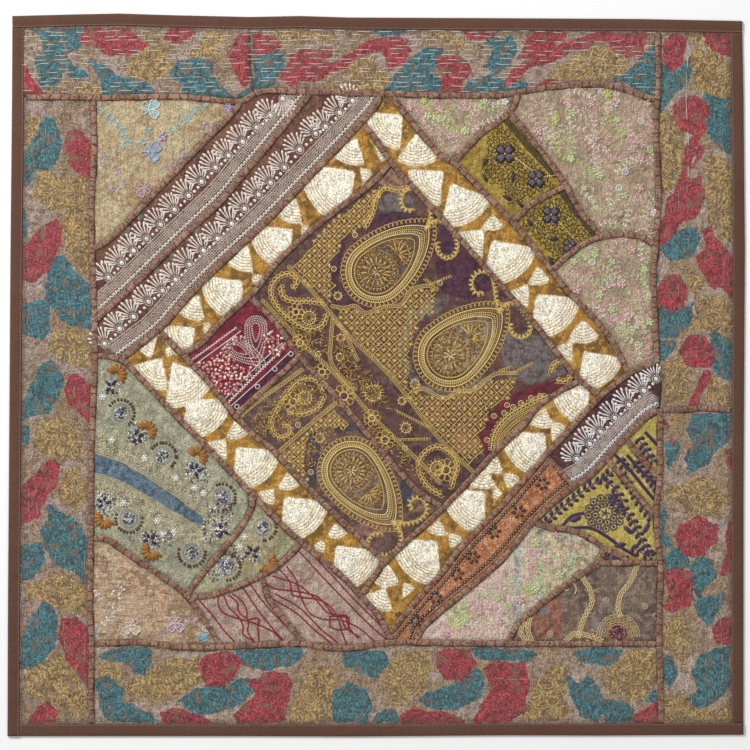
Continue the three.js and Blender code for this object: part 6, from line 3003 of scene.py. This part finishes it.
@dataclass
class SeamCords:
    """The padded cords on the seams, the red thread that whips them down, and a dark thread beside each as
    its painted shadow.

    Args:
        height: how far a cord stands above the cloth, in metres.
        sunk: how far its round section reaches into the seam.
        whip: the distance between two whip stitches.
        groups: the cords that each piece joins, by the piece's name.
    """

    height: float = 0.0026
    sunk: float = 0.0006
    whip: float = 0.0150
    groups: dict[str, tuple[str, ...]] = field(default_factory=lambda: {
        "cords_border": ("cord_top", "cord_left", "cord_bottom", "cord_right_upper", "cord_right_panel",
                         "cord_right_lower"),
        "cords_lace": ("cord_lace_first", "cord_lace_second"),
        "cords_outer_frame": ("cord_outer_upper_left", "cord_outer_upper_right", "cord_outer_lower_left",
                              "cord_outer_lower_right"),
        "cords_inner_frame": ("cord_inner_upper_left", "cord_inner_upper_right", "cord_inner_lower_left",
                              "cord_inner_lower_right", "cord_centre"),
        "cords_corners": ("cord_sage", "cord_mustard", "cord_orange", "cord_brown"),
    })

    def line(self, seam: Seam) -> np.ndarray:
        """The line of a cord, cut short where it meets another cord or the binding.

        Args:
            seam: the seam that it lies on.

        Returns:
            The line's points.
        """
        path = LINES[seam.name]
        cord_of = {s.name: s.cord for s in SEAMS}
        start, end = (
            CORD_WIDTH / 2 if other and cord_of[other] != seam.cord else 0.0
            for other in (seam.start, seam.end)
        )
        path = resample(path, 0.003, start, end)
        return path[inside(path, inset(OUTLINE, BINDING_WIDTH + 0.0006))]

    def material(self) -> bpy.types.Material:
        """Brown cloth, mottled darker at random.

        Returns:
            The material.
        """

        def build(net: Net, at: Wire, feed: Callable) -> None:
            """Mottles the cord and wrinkles it.

            Args:
                net: the material's nodes.
                at: the Object coordinates.
                feed: links a wire to a socket.
            """
            spots, fine = net.noise(at, 60, 3), net.noise(at, 330, 3)
            colour = net.mix(1 - spots.below(0.5, 0.3), linear((128, 98, 76)), linear((164, 130, 106)))
            colour = net.mix((1 - fine.below(0.54, 0.12)) * 0.85, colour, linear((88, 60, 46)))
            feed("Base Color", colour)
            height = fine * 0.0012 + net.noise(at, 900, 1) * 0.0003
            feed("Normal", net.add("ShaderNodeBump", None, {
                "Strength": 0.9, "Distance": 1.0, "Height": height,
            }))

        return material("cord_braid", build, Roughness=0.85, Sheen_Weight=0.2)

    def build(self) -> None:
        """Makes each group of cords, all of their whip stitches and the dark threads that paint their
        shadows.
        """
        finish, tree = self.material(), roll_tree()
        sewing = Needlework("cord_whipping")
        for name, nodes in self.groups.items():
            vertices, edges = [], []
            for seam in (s for s in SEAMS if s.cord in nodes):
                path = self.line(seam)
                first = len(vertices)
                base = RELIEF.top(path) + self.height / 2 - self.sunk / 2
                vertices += [(*p, z) for p, z in zip(path, base)]
                edges += [(first + i, first + i + 1) for i in range(len(path) - 1)]
                self.whip_down(sewing, path)
            made = mesh_object(name, vertices, (), None, edges)
            put(made.data, "width", np.full(len(vertices), CORD_WIDTH - 0.0008))
            grown(made, tree, {
                "Sides": 10, "Flatness": (self.height + self.sunk) / CORD_WIDTH, "Lumps": 0.0022,
                "Lump Cells": 95.0, "Finish": finish,
            })
            tell(made, "cord_braid", nodes)
        sewing.build()

    def whip_down(self, sewing: Needlework, path: np.ndarray) -> None:
        """Sews red stitches over a cord, and a dark thread down its lower side as a painted shadow.

        Args:
            sewing: the needlework of all whip stitches.
            path: the cord's line.
        """
        # The lower side faces away from the key light; the dark thread laid along it is a painted shadow of
        # the cord, not a crease.
        low = 1 if math.cos(headings(path)[len(path) // 2]) < 0 else -1
        along = lengths(path)
        sway = 0.0006 * np.sin(along * 150) + 0.0005 * np.sin(along * 61 + 2)
        turn = headings(path)
        aside = np.column_stack([-np.sin(turn), np.cos(turn)])
        crease = path + aside * (low * 0.0038 + sway)[:, None]
        sewing.thread(crease, 0.0011, (52, 34, 26), 0.0001)
        points = resample(path, self.whip)[1:-1]
        if len(points):
            turn = headings(resample(path, self.whip))[1:-1] + math.pi / 2
            turn += sewing.draw.uniform(-0.35, 0.35, len(points))
            shift = sewing.draw.uniform(-0.003, 0.003, (len(points), 1))
            points = points + shift * np.column_stack([-np.sin(turn), np.cos(turn)])
            size = (CORD_WIDTH * 1.08, 0.0014, 0.0015)
            sewing.set_on(Form.STITCH, points, turn, size, (152, 24, 32), self.height - 0.0001)


@dataclass
class Binding:
    """The folded strip round the cloth's edge, in four lengths, and its machine stitching.

    Args:
        step: the distance between two sections of the strip.
        pitch: the distance between two machine stitches.
    """

    step: float = 0.004
    pitch: float = 0.0034
    sides: tuple[tuple[str, tuple, bool, bool], ...] = (
        ("binding_top", EDGE_UPPER, True, True),
        ("binding_right", EDGE_RIGHT, False, False),
        ("binding_bottom", EDGE_LOWER, True, False),
        ("binding_left", EDGE_LEFT, True, False),
    )

    def section(self) -> np.ndarray:
        """The strip's closed section: the distance from the edge and the height of each point.

        Returns:
            The section's points.
        """
        w = BINDING_WIDTH
        return np.array([
            (w, 0.0001), (0.0016, 0.0001), (0.0006, 0.0003), (0.0001, 0.0010), (0.0001, 0.0019),
            (0.0006, 0.0027), (0.0016, 0.0031), (0.0060, 0.0034), (0.0120, 0.0034), (w - 0.0018, 0.0029),
            (w - 0.0004, 0.0032), (w, 0.0027), (w - 0.0004, 0.0023), (0.0030, 0.0025), (0.0012, 0.0022),
            (0.0009, 0.0014), (0.0012, 0.0008), (0.0030, 0.0006), (w, 0.0006),
        ])

    def material(self) -> bpy.types.Material:
        """Dark brown cotton with fine ribs.

        Returns:
            The material.
        """

        def build(net: Net, at: Wire, feed: Callable) -> None:
            """Ribs the strip along its length and fades it a little.

            Args:
                net: the material's nodes.
                at: the Object coordinates.
                feed: links a wire to a socket.
            """
            fade, fine = net.noise(at, 9, 3), net.noise(at, 520, 2)
            colour = net.mix(fade, linear((82, 49, 32)), linear((108, 71, 52)))
            colour = net.mix((1 - fine.below(0.5, 0.3)) * 0.4, colour, linear((62, 36, 24)))
            feed("Base Color", colour)
            x = net.add("ShaderNodeSeparateXYZ", None, {"Vector": at}, "X")
            y = net.add("ShaderNodeSeparateXYZ", None, {"Vector": at}, "Y")
            ribs = ((x * 2600.0).wave() + (y * 2600.0).wave()) * 0.00012
            feed("Normal", net.add("ShaderNodeBump", None, {
                "Strength": 0.7, "Distance": 1.0, "Height": ribs + net.noise(at, 40, 3) * 0.003,
            }))

        return material("binding_cotton", build, Roughness=0.85, Sheen_Weight=0.15)

    def build(self) -> None:
        """Makes the four lengths and sews them down."""
        finish = self.material()
        section = self.section()
        rows = {}
        for name, pixels, begins_whole, ends_whole in self.sides:
            gap = BINDING_WIDTH + GAP
            path = resample(place(pixels), self.step, 0 if begins_whole else gap,
                            0 if ends_whole else gap)
            vertices = []
            for index, point in enumerate(path):
                turn = headings(path)[index]
                across = np.array([math.sin(turn), -math.cos(turn)])
                puff = 1 + 0.10 * math.sin(index * 0.9) * math.sin(index * 0.37 + 1)
                for distance, height in section:
                    top = 0.0022 + (height - 0.0022) * puff if height > 0.0022 else height
                    vertices.append((*(point + across * distance), top))
            n, rings = len(section), len(path)
            faces = [
                [i * n + j, i * n + (j + 1) % n, (i + 1) * n + (j + 1) % n, (i + 1) * n + j]
                for i in range(rings - 1)
                for j in range(n)
            ]
            faces += [list(range(n))[::-1], [(rings - 1) * n + j for j in range(n)]]
            made = mesh_object(f"sheet_{name}", vertices, faces, finish)
            self.face_out(made)
            tell(made, "binding_cotton", [name])
            length = float(lengths(path)[-1])
            rows[name] = beside(path, -(BINDING_WIDTH - 0.0016))
        self.machine_stitches(rows)

    @staticmethod
    def face_out(made: bpy.types.Object) -> None:
        """Turns a closed mesh's faces outward.

        Args:
            made: the object with the mesh.
        """
        work = bmesh.new()
        work.from_mesh(made.data)
        bmesh.ops.recalc_face_normals(work, faces=work.faces)
        work.to_mesh(made.data)
        work.free()
        smooth_shade(made)

    def machine_stitches(self, rows: dict[str, np.ndarray]) -> None:
        """Sews one row of small pale stitches along the inner edge of each length.

        Args:
            rows: the inner edge of each length, by its name.
        """
        sewing = Needlework("binding_sewing")
        for row in rows.values():
            points = resample(row, self.pitch)
            turn = headings(points)
            sewing.set_on(Form.STITCH, points, turn, (0.0024, 0.0008, 0.0007), (176, 150, 140), 0.0010)
        sewing.build()


@dataclass
class Studio:
    """The floor, the lights and the camera.

    Args:
        distance: how high the camera hangs above the cloth, in metres.
        floor_side: the floor's side.
    """

    distance: float = 6.0
    floor_side: float = 12.0

    def floor(self) -> None:
        """A plain pale floor under the cloth."""
        half = self.floor_side / 2
        corners = [(-half, -half, 0), (half, -half, 0), (half, half, 0), (-half, half, 0)]

        def build(net: Net, at: Wire, feed: Callable) -> None:
            """Leaves the floor plain."""
            feed("Base Color", net.mix(net.noise(at, 2, 1) * 0.02, (0.93, 0.93, 0.93, 1),
                                       (0.9, 0.9, 0.9, 1)))

        made = mesh_object("floor", corners, [(0, 1, 2, 3)], material("floor", build, Roughness=0.9))
        made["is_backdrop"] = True

    def light(self, name: str, place_at: Point, side: float, watts: float) -> None:
        """A square soft light that faces the cloth's middle.

        Args:
            name: its name.
            place_at: where it is, in metres.
            side: the length of its side.
            watts: its power.
        """
        data = bpy.data.lights.new(name, "AREA")
        data.size, data.energy = side, watts
        lamp = bpy.data.objects.new(name, data)
        lamp.location = place_at
        lamp.rotation_euler = Vector(place_at).to_track_quat("Z", "Y").to_euler()
        bpy.context.scene.collection.objects.link(lamp)

    def build(self) -> None:
        """Sets the floor, two soft lights, a pale world and the camera straight above."""
        self.floor()
        self.light("key", (-2.6, 2.8, 2.7), 1.3, 200)
        self.light("fill", (2.6, -1.6, 3.6), 3.0, 36)
        world = bpy.data.worlds.new("studio")
        world.use_nodes = True
        world.node_tree.nodes["Background"].inputs["Color"].default_value = (1, 1, 1, 1)
        world.node_tree.nodes["Background"].inputs["Strength"].default_value = 0.40
        bpy.context.scene.world = world
        bpy.context.scene.view_settings.view_transform = "Standard"
        data = bpy.data.cameras.new("camera")
        data.sensor_width = 36.0
        seen = PHOTO_SIDE * PIXEL
        data.lens = data.sensor_width * self.distance / seen
        camera = bpy.data.objects.new("camera", data)
        middle = place([(PHOTO_SIDE / 2, PHOTO_SIDE / 2)])[0]
        camera.location = (*middle, self.distance)
        bpy.context.scene.collection.objects.link(camera)
        bpy.context.scene.camera = camera


def main() -> None:
    """Builds the cloth and its studio."""
    logging.basicConfig(level=logging.INFO, format="%(message)s")
    Studio().build()
    for patch in PATCHES:
        patch.build()
    SeamCords().build()
    Binding().build()
    for part in (
        RunningStitches(), Lace(), Medallion(), Trellis(), MaroonPanel(), SagePanels(), BeigePanels(),
        PalePanels(), TaupeLines(), MustardPanels(), YellowPanels(), OrangeStrip(), BrownPanel(),
    ):
        part.build()
    corners = [[list(map(float, corner)) for corner in box] for box in (CAD_BOX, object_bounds())]


if __name__ == "__main__":
    main()
